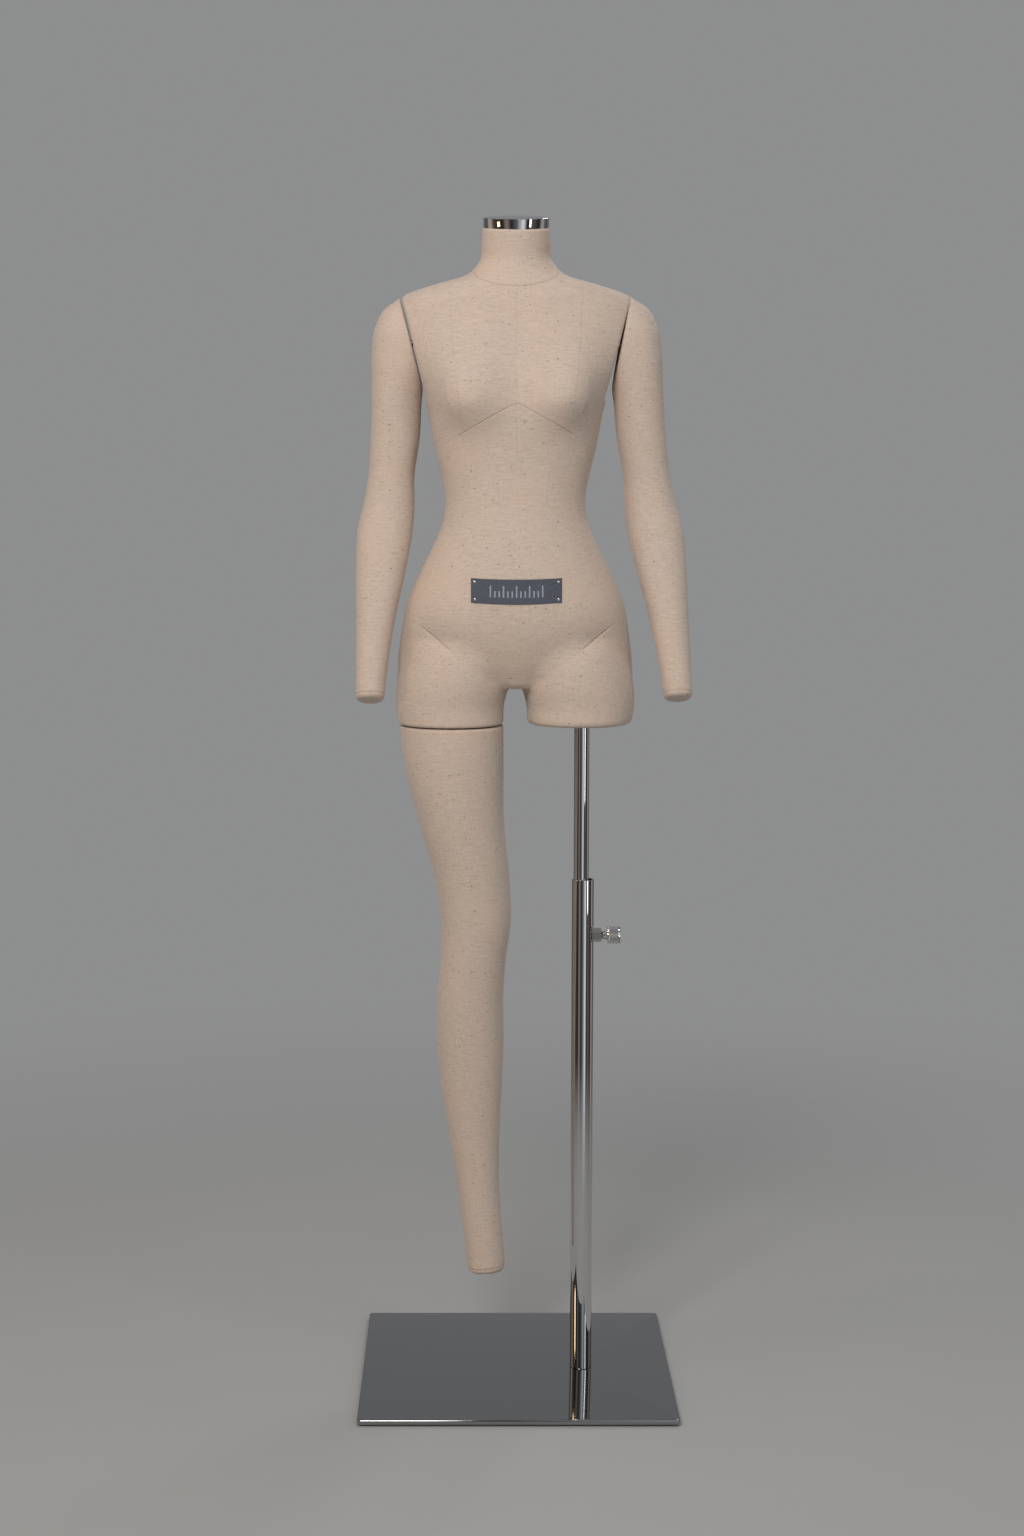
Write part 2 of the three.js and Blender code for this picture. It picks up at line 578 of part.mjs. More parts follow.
function neck() {
  const inside = CAP_RADIUS - CAP_WALL;
  const cup = turned([[0, -CAP_WALL], [inside, -CAP_WALL], [inside, -CAP_HEIGHT], [CAP_RADIUS, -CAP_HEIGHT],
    [CAP_RADIUS, -CAP_EDGE], [CAP_RADIUS - CAP_EDGE, 0], [0, 0]], 32);
  add('neck_cap', onNeck(cup), CHROME);
  const top = -CAP_WALL - GAP;
  const block = cut(solid(rod(inside - GAP, -CAP_HEIGHT, top, 24)),
    solid(rod(CAP_SCREW_RADIUS + GAP, -CAP_HEIGHT - 1, top + 1, 12)));
  add('neck_block', onNeck(geometryOf(block)), WOOD);
  const screw = rod(CAP_SCREW_RADIUS, CAP_SCREW_SPARE - CAP_SCREW_DEPTH, top - GAP, 10);
  add('neck_cap_screw', onNeck(screw), ZINC);
}

function thighs() {
  // pole side: board inside the shell with the socket's flange screwed on top of it
  const boardTop = BOARD_LOW + BOARD_THICKNESS;
  const screwSpots = [0, 1, 2].map((i) => (i * 2 * Math.PI) / 3 + Math.PI / 2)
    .map((angle) => [Math.cos(angle) * FLANGE.screwCircle, Math.sin(angle) * FLANGE.screwCircle])
    .map(([x, y]) => [ROD_X + x, POLE_Y + y]);
  const flangeLow = boardTop + GAP;
  const flangeTop = flangeLow + FLANGE.thickness;
  const holes = screwSpots.map(([x, y]) => solid(at(screwHole(), x, y, flangeTop)));
  const board = at(prism(boardOutline(), BOARD_LOW, boardTop, 12), 2 * BODY_X - THIGH_X, THIGH_Y, 0);
  addSolid('left_thigh_board', cut(solid(board), poleRoom(), ...holes), WOOD);

  const outer = SOCKET_BORE + SOCKET_WALL;
  const lid = SOCKET_TOP - SOCKET_LID;
  const socket = turned([[0, lid], [SOCKET_BORE, lid], [SOCKET_BORE, BOARD_LOW], [outer, BOARD_LOW],
    [outer, flangeLow], [FLANGE.radius, flangeLow], [FLANGE.radius, flangeTop], [outer, flangeTop],
    [outer, SOCKET_TOP], [0, SOCKET_TOP]]);
  addSolid('pole_socket', cut(solid(at(socket, ROD_X, POLE_Y, 0)), ...holes), ZINC);
  screwSpots.forEach(([x, y], i) => add(`socket_screw_${i + 1}`, woodScrew(), ZINC, [x, y, flangeTop]));

  // leg side: board inside the shell, behind the fitting plate
  const legBoard = at(prism(boardOutline(), BOARD_LOW, boardTop, 12), THIGH_X, THIGH_Y, 0);
  const pegRoom = solid(FITTINGS.right_thigh(pegPocket(-60, 0)));
  addSolid('right_thigh_board', cut(solid(legBoard), pegRoom, ...plateScrewHoles()), WOOD);
}

function fittingPlates() {
  for (const [name, placed] of Object.entries(FITTINGS)) {
    const plate = cut(solid(placed(torsoPlate())), ...plateScrewHoles());
    addSolid(`${name}_plate`, plate, ZINC);
    PLATE_SCREW_AT.forEach(([x, y], i) => {
      add(`${name}_screw_${i + 1}`, placed(at(woodScrew(), x, y, 0)), ZINC);
    });
  }
}

// A limb's skin at a depth below the outside of its linen, cut flat by the ends' tools.
function limbBody(sections, depth, ends, sides = LIMB_SIDES) {
  return cut(solid(inset(loft(sections, limbPoint, sides), depth)), ...ends(depth).map(solid));
}

// A limb's shell, between two depths below the outside of its linen.
function limbShell(sections, ends) {
  const outer = LIMB_SHELL_DEPTH;
  return cut(limbBody(sections, outer, ends), limbBody(sections, outer + LIMB_SHELL, ends, HOLLOW_SIDES));
}

function arms() {
  const ends = (depth) => [insideShoulder(depth)];
  const inFrame = (geometry) => solid(onShoulder(towardsFloor(geometry)));
  const pocket = inFrame(platePocket(-5, ARM_GAP + COVER + 1));
  const cover = cut(limbBody(ARM, 0, ends), limbBody(ARM, COVER, ends), pocket);
  const vent = inFrame(rod(PEG_HEAD_RADIUS, ARM_GAP, ARM_GAP + VENT_DEPTH, 12));
  const shell = cut(limbShell(ARM, ends), vent);
  const sides = { right: (geometry) => geometry, left: leaning };
  for (const [side, placed] of Object.entries(sides)) {
    addSolid(`${side}_arm_cover`, solid(placed(geometryOf(cover))), LINEN);
    addSolid(`${side}_arm_shell`, solid(placed(geometryOf(shell))), GLASS_FIBRE);
    add(`${side}_arm_plate`, placed(onShoulder(towardsFloor(limbPlate()))), ZINC);
  }
}

function leg() {
  const ends = (depth) => [above(LEG_TOP - depth), below(LEG_BOTTOM + depth)];
  const spot = [THIGH_X, THIGH_Y, 0];
  const pocket = solid(at(platePocket(LEG_TOP - COVER - 1, LEG_TOP + 5), ...spot));
  addSolid('leg_cover', cut(limbBody(LEG, 0, ends), limbBody(LEG, COVER, ends), pocket), LINEN);
  const vent = solid(at(rod(PEG_HEAD_RADIUS, LEG_TOP - VENT_DEPTH, LEG_TOP, 12), ...spot));
  addSolid('leg_shell', cut(limbShell(LEG, ends), vent), GLASS_FIBRE);
  const boardTop = LEG_TOP - LIMB_SHELL_DEPTH - LIMB_SHELL - 2 * GAP;
  add('leg_board', prism(boardOutline(), boardTop - BOARD_THICKNESS, boardTop, 12), WOOD, spot);
  add('leg_plate', limbPlate().rotateX(Math.PI), ZINC, [THIGH_X, THIGH_Y, STUB_BOTTOM]);
}

stand();
clamp();
heightRod();
torso();
neck();
thighs();
fittingPlates();
arms();
leg();

export default mannequin;
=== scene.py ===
"""Looks of the dress form mannequin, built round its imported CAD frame. Lengths are in metres.

The torso, arms and leg are each a smooth field of distances, turned into a skin of small faces.
The field's sections are the body's own measurements; where it stops and starts comes from the frame.
"""
import copy
import json
import math

import bmesh
import bpy
import numpy as np
from mathutils import Matrix, Vector
from mathutils.bvhtree import BVHTree


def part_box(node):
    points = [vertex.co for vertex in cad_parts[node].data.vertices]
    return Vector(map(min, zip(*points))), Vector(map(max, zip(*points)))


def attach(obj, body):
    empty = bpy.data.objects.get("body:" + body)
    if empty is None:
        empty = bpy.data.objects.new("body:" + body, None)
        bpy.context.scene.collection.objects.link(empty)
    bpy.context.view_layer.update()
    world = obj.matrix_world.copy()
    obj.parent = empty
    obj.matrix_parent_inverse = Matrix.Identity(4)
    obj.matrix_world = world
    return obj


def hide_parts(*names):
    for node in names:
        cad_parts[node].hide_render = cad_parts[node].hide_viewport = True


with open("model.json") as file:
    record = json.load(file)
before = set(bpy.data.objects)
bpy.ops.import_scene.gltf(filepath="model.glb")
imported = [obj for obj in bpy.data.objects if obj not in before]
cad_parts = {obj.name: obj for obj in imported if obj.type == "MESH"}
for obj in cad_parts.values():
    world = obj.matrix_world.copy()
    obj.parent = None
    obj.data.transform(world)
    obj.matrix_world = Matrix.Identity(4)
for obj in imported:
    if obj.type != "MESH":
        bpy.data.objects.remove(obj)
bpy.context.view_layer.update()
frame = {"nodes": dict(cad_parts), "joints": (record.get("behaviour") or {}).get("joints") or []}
NODES = frame["nodes"]
JOINTS = {joint["name"]: joint for joint in frame["joints"]}
MM = 0.001


# -------- places from the frame

def middle(node):
    low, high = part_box(node)
    return (low + high) / 2


def radius_of(node, axis=0):
    """Half of what a round node takes up along an axis."""
    low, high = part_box(node)
    return (high[axis] - low[axis]) / 2


BODY_X = middle("torso_cover").x
STUB_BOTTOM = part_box("torso_cover")[0].z
LEG_BOTTOM, LEG_TOP = (corner.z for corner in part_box("leg_cover"))
ROD = middle("inner_rod")
ROD_RADIUS = radius_of("inner_rod")
TUBE = middle("outer_tube")
TUBE_RADIUS = radius_of("outer_tube")
SHOULDER = Vector(JOINTS["right_arm_swing"]["pos_m"])
SHOULDER_OUT = Vector(JOINTS["right_arm_swing"]["axis"]).normalized()
THIGH = Vector(JOINTS["leg_twist"]["pos_m"])
FITTING_RADIUS = radius_of("right_thigh_plate")
COVER = 3 * MM
ARM_GAP = 2 * MM
ARMPIT = 1416 * MM
NECK_TILT = math.radians(9)
CAP_HEIGHT = 14 * MM
CAP_RADIUS = radius_of("neck_cap")
CAP_TOP = Vector((BODY_X, -19 * MM, 1668.2 * MM))
NECK_UP = Vector((0, -math.sin(NECK_TILT), math.cos(NECK_TILT)))

# Sections in millimetres. Trunk: height, half width, front, back, without the bust.
TRUNK = [
    (1012, 165, -62, 110), (1050, 167, -84, 119), (1090, 162, -99, 119), (1130, 154.5, -104, 111),
    (1170, 138, -101, 101), (1210, 118, -95, 91), (1249, 102, -89, 82), (1277, 99, -87, 79),
    (1310, 104, -87, 81), (1345, 112.5, -90, 87), (1375, 118.5, -93, 94), (1400, 123, -94, 99),
    (1430, 134, -93, 102), (1465, 154, -87, 103), (1500, 171, -80, 101), (1530, 177, -74, 96),
    (1552, 170, -70, 88), (1566, 150, -66, 80), (1577, 115, -63, 73), (1588, 76, -60, 66),
    (1605, 54.3, -58, 55), (1635, 48, -62, 37), (1672, 46.8, -69, 25),
]
BUST = {"x": 78, "z": 1417, "push": 32, "across": 37, "above": 45, "below": 28}

# Limbs: height, centre x, half width, centre y, half depth.
STUB = [
    (940, -94.5, 73.5, -7, 84), (960, -94.5, 74.5, -7, 85), (985, -96, 76.8, -4, 88),
    (1012, -92, 80, 0, 95), (1050, -84, 80, 5, 98), (1085, -78, 74, 9, 92),
]
LEG = [
    (980, -94.5, 74.5, -7, 85), (905, -90.7, 71.2, -9, 80.5), (820, -80, 61.2, -9.5, 72),
    (735, -64.5, 53.6, -8, 62), (675, -58.9, 50.4, -7, 57), (617, -62.7, 47.1, -3, 55),
    (560, -67, 47.9, 4, 56), (500, -67, 48.7, 10, 55.5), (440, -65.6, 45.2, 12, 52),
    (365, -61.7, 37.8, 10, 43.5), (280, -55.5, 30.6, 5, 34.5), (200, -47.6, 28.3, -1, 31),
    (135, -41, 27, -5, 29),
]
ARM = [
    (1559, -146, 20, 3, 18), (1546, -151, 34, 3, 33), (1520, -157.5, 43, 3, 44), (1480, -163, 43, 4, 46),
    (1440, -169, 37, 5, 43), (1361, -173.7, 34.7, 9, 38), (1305, -179.6, 33, 11, 36),
    (1272, -182.6, 36.3, 10, 36.7), (1235, -188, 39.3, 5, 37.7), (1185, -193.3, 36, -7, 36.7),
    (1110, -201, 27.7, -28.5, 32), (1035, -206.5, 21.8, -52, 27.4), (985, -208.5, 19.6, -68, 25),
]
WRIST = Vector((-208 * MM, -63 * MM, 996 * MM))
FOREARM_TILT = 0.32
WRIST_OUT = (0, -math.sin(FOREARM_TILT), -math.cos(FOREARM_TILT))
SQUARENESS = 2.2


# -------- fields of distance

def smooth_rows(rows):
    """Curves through the columns of rows that start with a height: a function of height."""
    table = np.array(sorted(rows), float) * MM
    heights, columns = table[:, 0], table[:, 1:]
    step = np.diff(heights)[:, None]
    rise = np.diff(columns, axis=0) / step
    inner = (rise[:-1] * step[1:] + rise[1:] * step[:-1]) / (step[1:] + step[:-1])
    slope = np.vstack([rise[:1], inner, rise[-1:]])

    def at(height):
        level = np.clip(height, heights[0], heights[-1])
        i = np.clip(np.searchsorted(heights, level) - 1, 0, len(step) - 1)
        t = ((level - heights[i]) / step[i, 0])[..., None]
        start, end, span = columns[i], columns[i + 1], step[i]
        value = (start * (2 * t ** 3 - 3 * t ** 2 + 1) + end * (3 * t ** 2 - 2 * t ** 3)
                 + slope[i] * span * (t ** 3 - 2 * t ** 2 + t) + slope[i + 1] * span * (t ** 3 - t ** 2))
        return np.moveaxis(value, -1, 0)

    return at


TRUNK_AT = smooth_rows([(z, BODY_X / MM, half, (front + back) / 2, (back - front) / 2)
                        for z, half, front, back in TRUNK])
STUB_AT = smooth_rows(STUB)
LEG_AT = smooth_rows(LEG)
ARM_AT = smooth_rows(ARM)


def bell(value, width):
    return np.exp(-(value / width) ** 2 / 2)


def bust_push(x, z):
    """How far the bust stands out of the trunk in front of (x, z)."""
    across = sum(bell(x - BODY_X - side * BUST["x"] * MM, BUST["across"] * MM) for side in (-1, 1))
    above = z - BUST["z"] * MM
    return BUST["push"] * MM * across * np.where(above > 0, bell(above, BUST["above"] * MM),
                                                 bell(above, BUST["below"] * MM))


def soft_min(a, b, blend):
    share = np.clip(0.5 + 0.5 * (b - a) / blend, 0, 1)
    return b * (1 - share) + a * share - blend * share * (1 - share)


def soft_max(a, b, blend):
    return -soft_min(-a, -b, blend)


class Grid:
    """A box of sample points, with the body's fields sampled on it."""

    def __init__(self, low, high, step):
        self.step = step
        self.low = np.array(low) - 3 * step
        counts = np.ceil((np.array(high) + 3 * step - self.low) / step).astype(int)
        axes = [self.low[i] + step * np.arange(counts[i]) for i in range(3)]
        self.x, self.y, self.z = np.meshgrid(*axes, indexing="ij", sparse=True)

    def mirrored(self):
        """The same points, with left and right of the body swapped."""
        other = copy.copy(self)
        other.x = 2 * BODY_X - self.x
        return other

    def column(self, sections, push=None):
        """Distance to a stack of rounded sections, near enough to a true one for blending."""
        cx, half, cy, depth = sections(self.z)
        y = self.y + (push(self.x, self.z) * np.clip((cy - self.y) / depth, 0, 1) if push else 0)
        u = np.abs(self.x - cx) / half
        v = np.abs(y - cy) / depth
        ratio = (u ** SQUARENESS + v ** SQUARENESS) ** (1 / SQUARENESS)
        steep = np.sqrt(sum(part ** 2 for part in np.gradient(ratio, self.step)))
        return (ratio - 1) / np.maximum(steep, 1)

    def plane(self, point, out):
        """Distance out of a plane."""
        return ((self.x - point[0]) * out[0] + (self.y - point[1]) * out[1]
                + (self.z - point[2]) * out[2])


def surface(field, grid):
    """Corners and four-sided faces of the surface where a field is zero (naive surface nets)."""
    inside = field < 0
    n = np.array(field.shape) - 1
    offsets = [(i, j, k) for i in (0, 1) for j in (0, 1) for k in (0, 1)]
    filled = sum(inside[i:i + n[0], j:j + n[1], k:k + n[2]].astype(np.int8) for i, j, k in offsets)
    cells = np.argwhere((filled > 0) & (filled < 8))
    number = np.full(n, -1)
    number[tuple(cells.T)] = np.arange(len(cells))
    total = np.zeros((len(cells), 3))
    count = np.zeros(len(cells))
    for start in offsets:
        for axis in range(3):
            if start[axis]:
                continue
            end = np.array(start)
            end[axis] = 1
            a = field[tuple((cells + start).T)]
            b = field[tuple((cells + end).T)]
            crossed = (a < 0) != (b < 0)
            t = a[crossed] / (a[crossed] - b[crossed])
            total[crossed] += np.array(start) + t[:, None] * np.eye(3)[axis]
            count[crossed] += 1
    corners = grid.low + (cells + total / count[:, None]) * grid.step
    faces = []
    for axis in range(3):
        one, two = [(axis + 1) % 3, (axis + 2) % 3]
        here = np.argwhere(np.diff(inside.astype(np.int8), axis=axis) != 0)
        inner = (here[:, one] > 0) & (here[:, two] > 0) & (here[:, one] < n[one]) & (here[:, two] < n[two])
        here = here[inner]
        back_one, back_two = np.eye(3, dtype=int)[one], np.eye(3, dtype=int)[two]
        ring = [here, here - back_one, here - back_one - back_two, here - back_two]
        quad = np.stack([number[tuple(cell.T)] for cell in ring], axis=1)
        leaving = inside[tuple(here.T)]
        faces.append(np.where(leaving[:, None], quad, quad[:, ::-1]))
    return corners, np.vstack(faces)


def relax(corners, faces, rounds):
    """Evens a skin out without shrinking it: each smoothing pass is undone by a larger one outwards."""
    pairs = np.vstack([faces[:, [i, (i + 1) % 4]] for i in range(4)])
    valence = np.bincount(pairs.ravel(), minlength=len(corners))[:, None]
    for amount in [0.5, -0.52] * rounds:
        total = np.zeros_like(corners)
        for axis in range(3):
            for a, b in ((0, 1), (1, 0)):
                total[:, axis] += np.bincount(pairs[:, a], corners[pairs[:, b], axis], len(corners))
        corners = corners + amount * (total / valence - corners)
    return corners


# -------- sewn seams

def ease(value, start, end):
    """0 at start, 1 at end, smooth between."""
    t = np.clip((value - start) / (end - start), 0, 1)
    return t * t * (3 - 2 * t)


def between(value, low, high, fade):
    return ease(value, low - fade, low + fade) * (1 - ease(value, high - fade, high + fade))


def seam_distances(corners, normals, level):
    """Distance along the cloth from each corner to the line where a level function is zero."""
    tiny = 0.5 * MM
    here = level(corners)
    slope = np.stack([(level(corners + tiny * np.eye(3)[i]) - here) / tiny for i in range(3)], axis=1)
    slope -= normals * np.sum(slope * normals, axis=1)[:, None]
    return here / np.maximum(np.linalg.norm(slope, axis=1), 0.2)


PRINCESS = smooth_rows([(960, 70), (1100, 80), (1220, 68), (1277, 65), (1305, 67), (1350, 73), (1371, 75),
                        (1417, 81), (1460, 86), (1540, 91), (1600, 93)])
NECK_SEAM = 1590.5 * MM
NECK_SEAM_BOW = 3.0
NECK_SEAM_RISE = 0.30
UNDERBUST = {"top": 1411 * MM, "fall": 0.56, "half": 80 * MM}
GROIN = {"outer": (131 * MM, 1099 * MM), "inner": (18 * MM, 1014 * MM)}
GROIN_LENGTH = math.dist(GROIN["outer"], GROIN["inner"])


def groin_line(out, height):
    """Distance across the line of the groin, and along it from its outer end."""
    (x0, z0), (x1, z1) = GROIN["outer"], GROIN["inner"]
    across = ((out - x0) * (z1 - z0) - (height - z0) * (x1 - x0)) / GROIN_LENGTH
    along = ((out - x0) * (x1 - x0) + (height - z0) * (z1 - z0)) / GROIN_LENGTH
    return across, along


def everywhere(p):
    return np.ones(len(p))


def faint(where, share):
    """A seam that shows less."""
    return lambda p: share * where(p)


def front_share(p):
    """1 in front of the trunk's middle, 0 behind."""
    cy = TRUNK_AT(p[:, 2])[2]
    return 1 - ease(p[:, 1] - cy, -20 * MM, 20 * MM)


def torso_seams():
    """(level, where it is sewn, how deep) for each seam of the torso's cover."""
    def off_centre(p):
        return p[:, 0] - BODY_X

    def centre_where(p):
        front = front_share(p)
        sewn = (front * between(p[:, 2], 1325 * MM, 1573 * MM, 18 * MM)
                + (1 - front) * between(p[:, 2], 1120 * MM, 1606 * MM, 10 * MM))
        return sewn * (np.abs(off_centre(p)) < 0.03)

    def princess(side):
        def level(p):
            return side * off_centre(p) - PRINCESS(p[:, 2])[0]

        def where(p):
            front = front_share(p)
            sewn = (front * between(p[:, 2], 1335 * MM, 1590 * MM, 25 * MM)
                    + (1 - front) * between(p[:, 2], 1150 * MM, 1590 * MM, 20 * MM))
            return sewn * (np.abs(level(p)) < 0.03)
        return level, faint(where, 0.4), 0.35 * MM

    def neck_level(p):
        return p[:, 2] - NECK_SEAM - NECK_SEAM_RISE * p[:, 1] - NECK_SEAM_BOW * off_centre(p) ** 2

    def underbust_level(p):
        return p[:, 2] - UNDERBUST["top"] + UNDERBUST["fall"] * np.sqrt(off_centre(p) ** 2 + (3 * MM) ** 2)

    def underbust_where(p):
        return front_share(p) * between(np.abs(off_centre(p)), -1, UNDERBUST["half"], 3 * MM)

    def groin(side):
        def level(p):
            return groin_line(side * off_centre(p), p[:, 2])[0]

        def where(p):
            along = groin_line(side * off_centre(p), p[:, 2])[1]
            return front_share(p) * between(along, 0, 50 * MM, 12 * MM) * (np.abs(level(p)) < 0.02)
        return level, where, 1.2 * MM

    def side_level(p):
        return p[:, 1] - TRUNK_AT(p[:, 2])[2]

    def side_where(p):
        return (np.abs(off_centre(p)) > 90 * MM) * between(p[:, 2], 900 * MM, 1420 * MM, 3 * MM)

    return [(off_centre, faint(centre_where, 0.45), 0.3 * MM), princess(-1), princess(1),
            (neck_level, everywhere, 0.5 * MM), (underbust_level, underbust_where, 0.35 * MM),
            groin(-1), groin(1), (side_level, side_where, 0.4 * MM)]


def limb_seams(sections, end_point, end_out):
    """A seam down the back of a limb, and the ring where its rounded end cap is sewn on."""
    def back_level(p):
        return p[:, 0] - sections(p[:, 2])[0]

    def back_where(p):
        return ease(p[:, 1] - sections(p[:, 2])[2], 0, 10 * MM)

    def ring_level(p):
        return (p - np.array(end_point)) @ np.array(end_out) + 8 * MM

    return [(back_level, back_where, 0.4 * MM), (ring_level, everywhere, 0.4 * MM)]


SEAM_REACH = 5 * MM
SEAM_WIDTH = 1.5 * MM
FAR = 20 * MM


def distances_to(seams, mesh):
    count = len(mesh.vertices)
    corners = np.empty(count * 3)
    normals = np.empty(count * 3)
    mesh.vertices.foreach_get("co", corners)
    mesh.vertices.foreach_get("normal", normals)
    corners, normals = corners.reshape(-1, 3), normals.reshape(-1, 3)
    rows = [(seam_distances(corners, normals, level), where(corners), depth) for level, where, depth in seams]
    return corners, normals, rows


def sew(mesh, seams):
    """Splits the faces near each seam, sinks the seam into the cloth and writes its distance down."""
    for _ in range(2):
        corners, _, rows = distances_to(seams, mesh)
        near = np.zeros(len(corners), bool)
        for distance, where, _ in rows:
            near |= (np.abs(distance) < SEAM_REACH) & (where > 0.02)
        made = bmesh.new()
        made.from_mesh(mesh)
        edges = [e for e in made.edges if near[e.verts[0].index] and near[e.verts[1].index]]
        bmesh.ops.subdivide_edges(made, edges=edges, cuts=1, use_grid_fill=True)
        made.to_mesh(mesh)
        made.free()
    corners, normals, rows = distances_to(seams, mesh)
    sink = np.zeros(len(corners))
    for distance, where, depth in rows:
        sink = np.maximum(sink, where * depth * np.exp(-(distance / SEAM_WIDTH) ** 2))
    mesh.vertices.foreach_set("co", (corners - normals * sink[:, None]).ravel())
    for start in range(0, len(rows), 3):
        group = rows[start:start + 3]
        away = np.full((len(corners), 3), FAR)
        share = np.zeros((len(corners), 3))
        for i, (distance, where, _) in enumerate(group):
            away[:, i] = np.clip(distance, -FAR, FAR)
            share[:, i] = where
        for kind, values in (("seam_distance", away), ("seam_share", share)):
            layer = mesh.attributes.new(f"{kind}_{start // 3}", "FLOAT_VECTOR", "POINT")
            layer.data.foreach_set("vector", values.ravel())
    return (len(rows) + 2) // 3


# -------- node materials

def new_material(name, colour, roughness, metallic=0.0, **constants):
    """A principled material; constants are other sockets of the shader, by name."""
    material = bpy.data.materials.new(name)
    material.use_nodes = True
    tree = material.node_tree
    shader = tree.nodes["Principled BSDF"]
    shader.inputs["Base Color"].default_value = (*colour, 1)
    shader.inputs["Roughness"].default_value = roughness
    shader.inputs["Metallic"].default_value = metallic
    for socket, value in constants.items():
        shader.inputs[socket.replace("_", " ")].default_value = value
    return material, tree, shader


def add_node(tree, kind, inputs=None, **settings):
    """A node with its settings made and its sockets set or linked."""
    made = tree.nodes.new("ShaderNode" + kind)
    for name, value in settings.items():
        setattr(made, name, value)
    for socket, value in (inputs or {}).items():
        if isinstance(value, bpy.types.NodeSocket):
            tree.links.new(value, made.inputs[socket])
        else:
            made.inputs[socket].default_value = value
    return made


def maths(tree, operation, *values, clamp=False):
    return add_node(tree, "Math", dict(enumerate(values)), operation=operation, use_clamp=clamp).outputs[0]


def stretched(tree, scale):
    """Object coordinates, scaled along each axis."""
    place = add_node(tree, "TexCoord").outputs["Object"]
    return add_node(tree, "Mapping", {"Vector": place, "Scale": scale}).outputs[0]


def noise(tree, scale, detail=2.0, rough=0.5):
    """Noise with its grain stretched along each axis by scale, in grains to the metre."""
    return add_node(tree, "TexNoise", {"Vector": stretched(tree, scale), "Scale": 1.0, "Detail": detail,
                                       "Roughness": rough}).outputs[0]


def ramp(tree, factor, stops, interpolation="LINEAR"):
    made = add_node(tree, "ValToRGB", {0: factor})
    made.color_ramp.interpolation = interpolation
    elements = made.color_ramp.elements
    while len(elements) < len(stops):
        elements.new(0.5)
    for element, (position, colour) in zip(elements, stops):
        element.position = position
        element.color = (*colour, 1) if isinstance(colour, tuple) else (colour, colour, colour, 1)
    return made.outputs[0]


def mix_colour(tree, factor, a, b, blend="MIX"):
    made = add_node(tree, "Mix", data_type="RGBA", blend_type=blend)
    for socket, value in zip((made.inputs[0], made.inputs[6], made.inputs[7]), (factor, a, b)):
        if isinstance(value, bpy.types.NodeSocket):
            tree.links.new(value, socket)
        else:
            socket.default_value = (*value, 1) if isinstance(value, tuple) else value
    return made.outputs[2]


def paint(tree, shader, factor, stops):
    """The base colour, along a ramp of colours."""
    tree.links.new(ramp(tree, factor, stops), shader.inputs["Base Color"])


def bump(tree, shader, height, distance, strength=1.0):
    made = add_node(tree, "Bump", {"Height": height, "Distance": distance, "Strength": strength})
    tree.links.new(made.outputs[0], shader.inputs["Normal"])


def flecks(tree, cells, size, share):
    """Small spots scattered through space: one in some of the cells of a Voronoi pattern."""
    place = {"Vector": stretched(tree, cells), "Scale": 1.0, "Randomness": 1.0}
    pattern = add_node(tree, "TexVoronoi", place)
    draw = add_node(tree, "SeparateColor", {0: pattern.outputs["Color"]}).outputs[0]
    chosen = maths(tree, "LESS_THAN", draw, share)
    spot = maths(tree, "SUBTRACT", 1.0, maths(tree, "DIVIDE", pattern.outputs["Distance"], size), clamp=True)
    return maths(tree, "MULTIPLY", maths(tree, "MINIMUM", maths(tree, "MULTIPLY", spot, 2.5), 1.0), chosen)


LINEN_COLOUR = (0.60, 0.484, 0.398)
LINEN_LIGHT = (0.675, 0.555, 0.465)
LINEN_DARK = (0.495, 0.39, 0.31)
LINEN_ROSE = (0.66, 0.49, 0.385)
FLECK_BROWN = (0.16, 0.085, 0.045)
FLECK_DARK = (0.07, 0.055, 0.05)


def seam_mask(tree, groups, width):
    """1 on the sewn lines, from the distances written on the mesh."""
    mask = 0.0
    for group in range(groups):
        away = add_node(tree, "Attribute", attribute_name=f"seam_distance_{group}").outputs["Vector"]
        share = add_node(tree, "Attribute", attribute_name=f"seam_share_{group}").outputs["Vector"]
        away_parts = add_node(tree, "SeparateXYZ", {0: away}).outputs
        share_parts = add_node(tree, "SeparateXYZ", {0: share}).outputs
        for distance, sewn in zip(away_parts, share_parts):
            widths_away = maths(tree, "DIVIDE", maths(tree, "ABSOLUTE", distance), width)
            near = maths(tree, "SUBTRACT", 1.0, widths_away, clamp=True)
            mask = maths(tree, "MAXIMUM", mask, maths(tree, "MULTIPLY", near, sewn))
    return mask


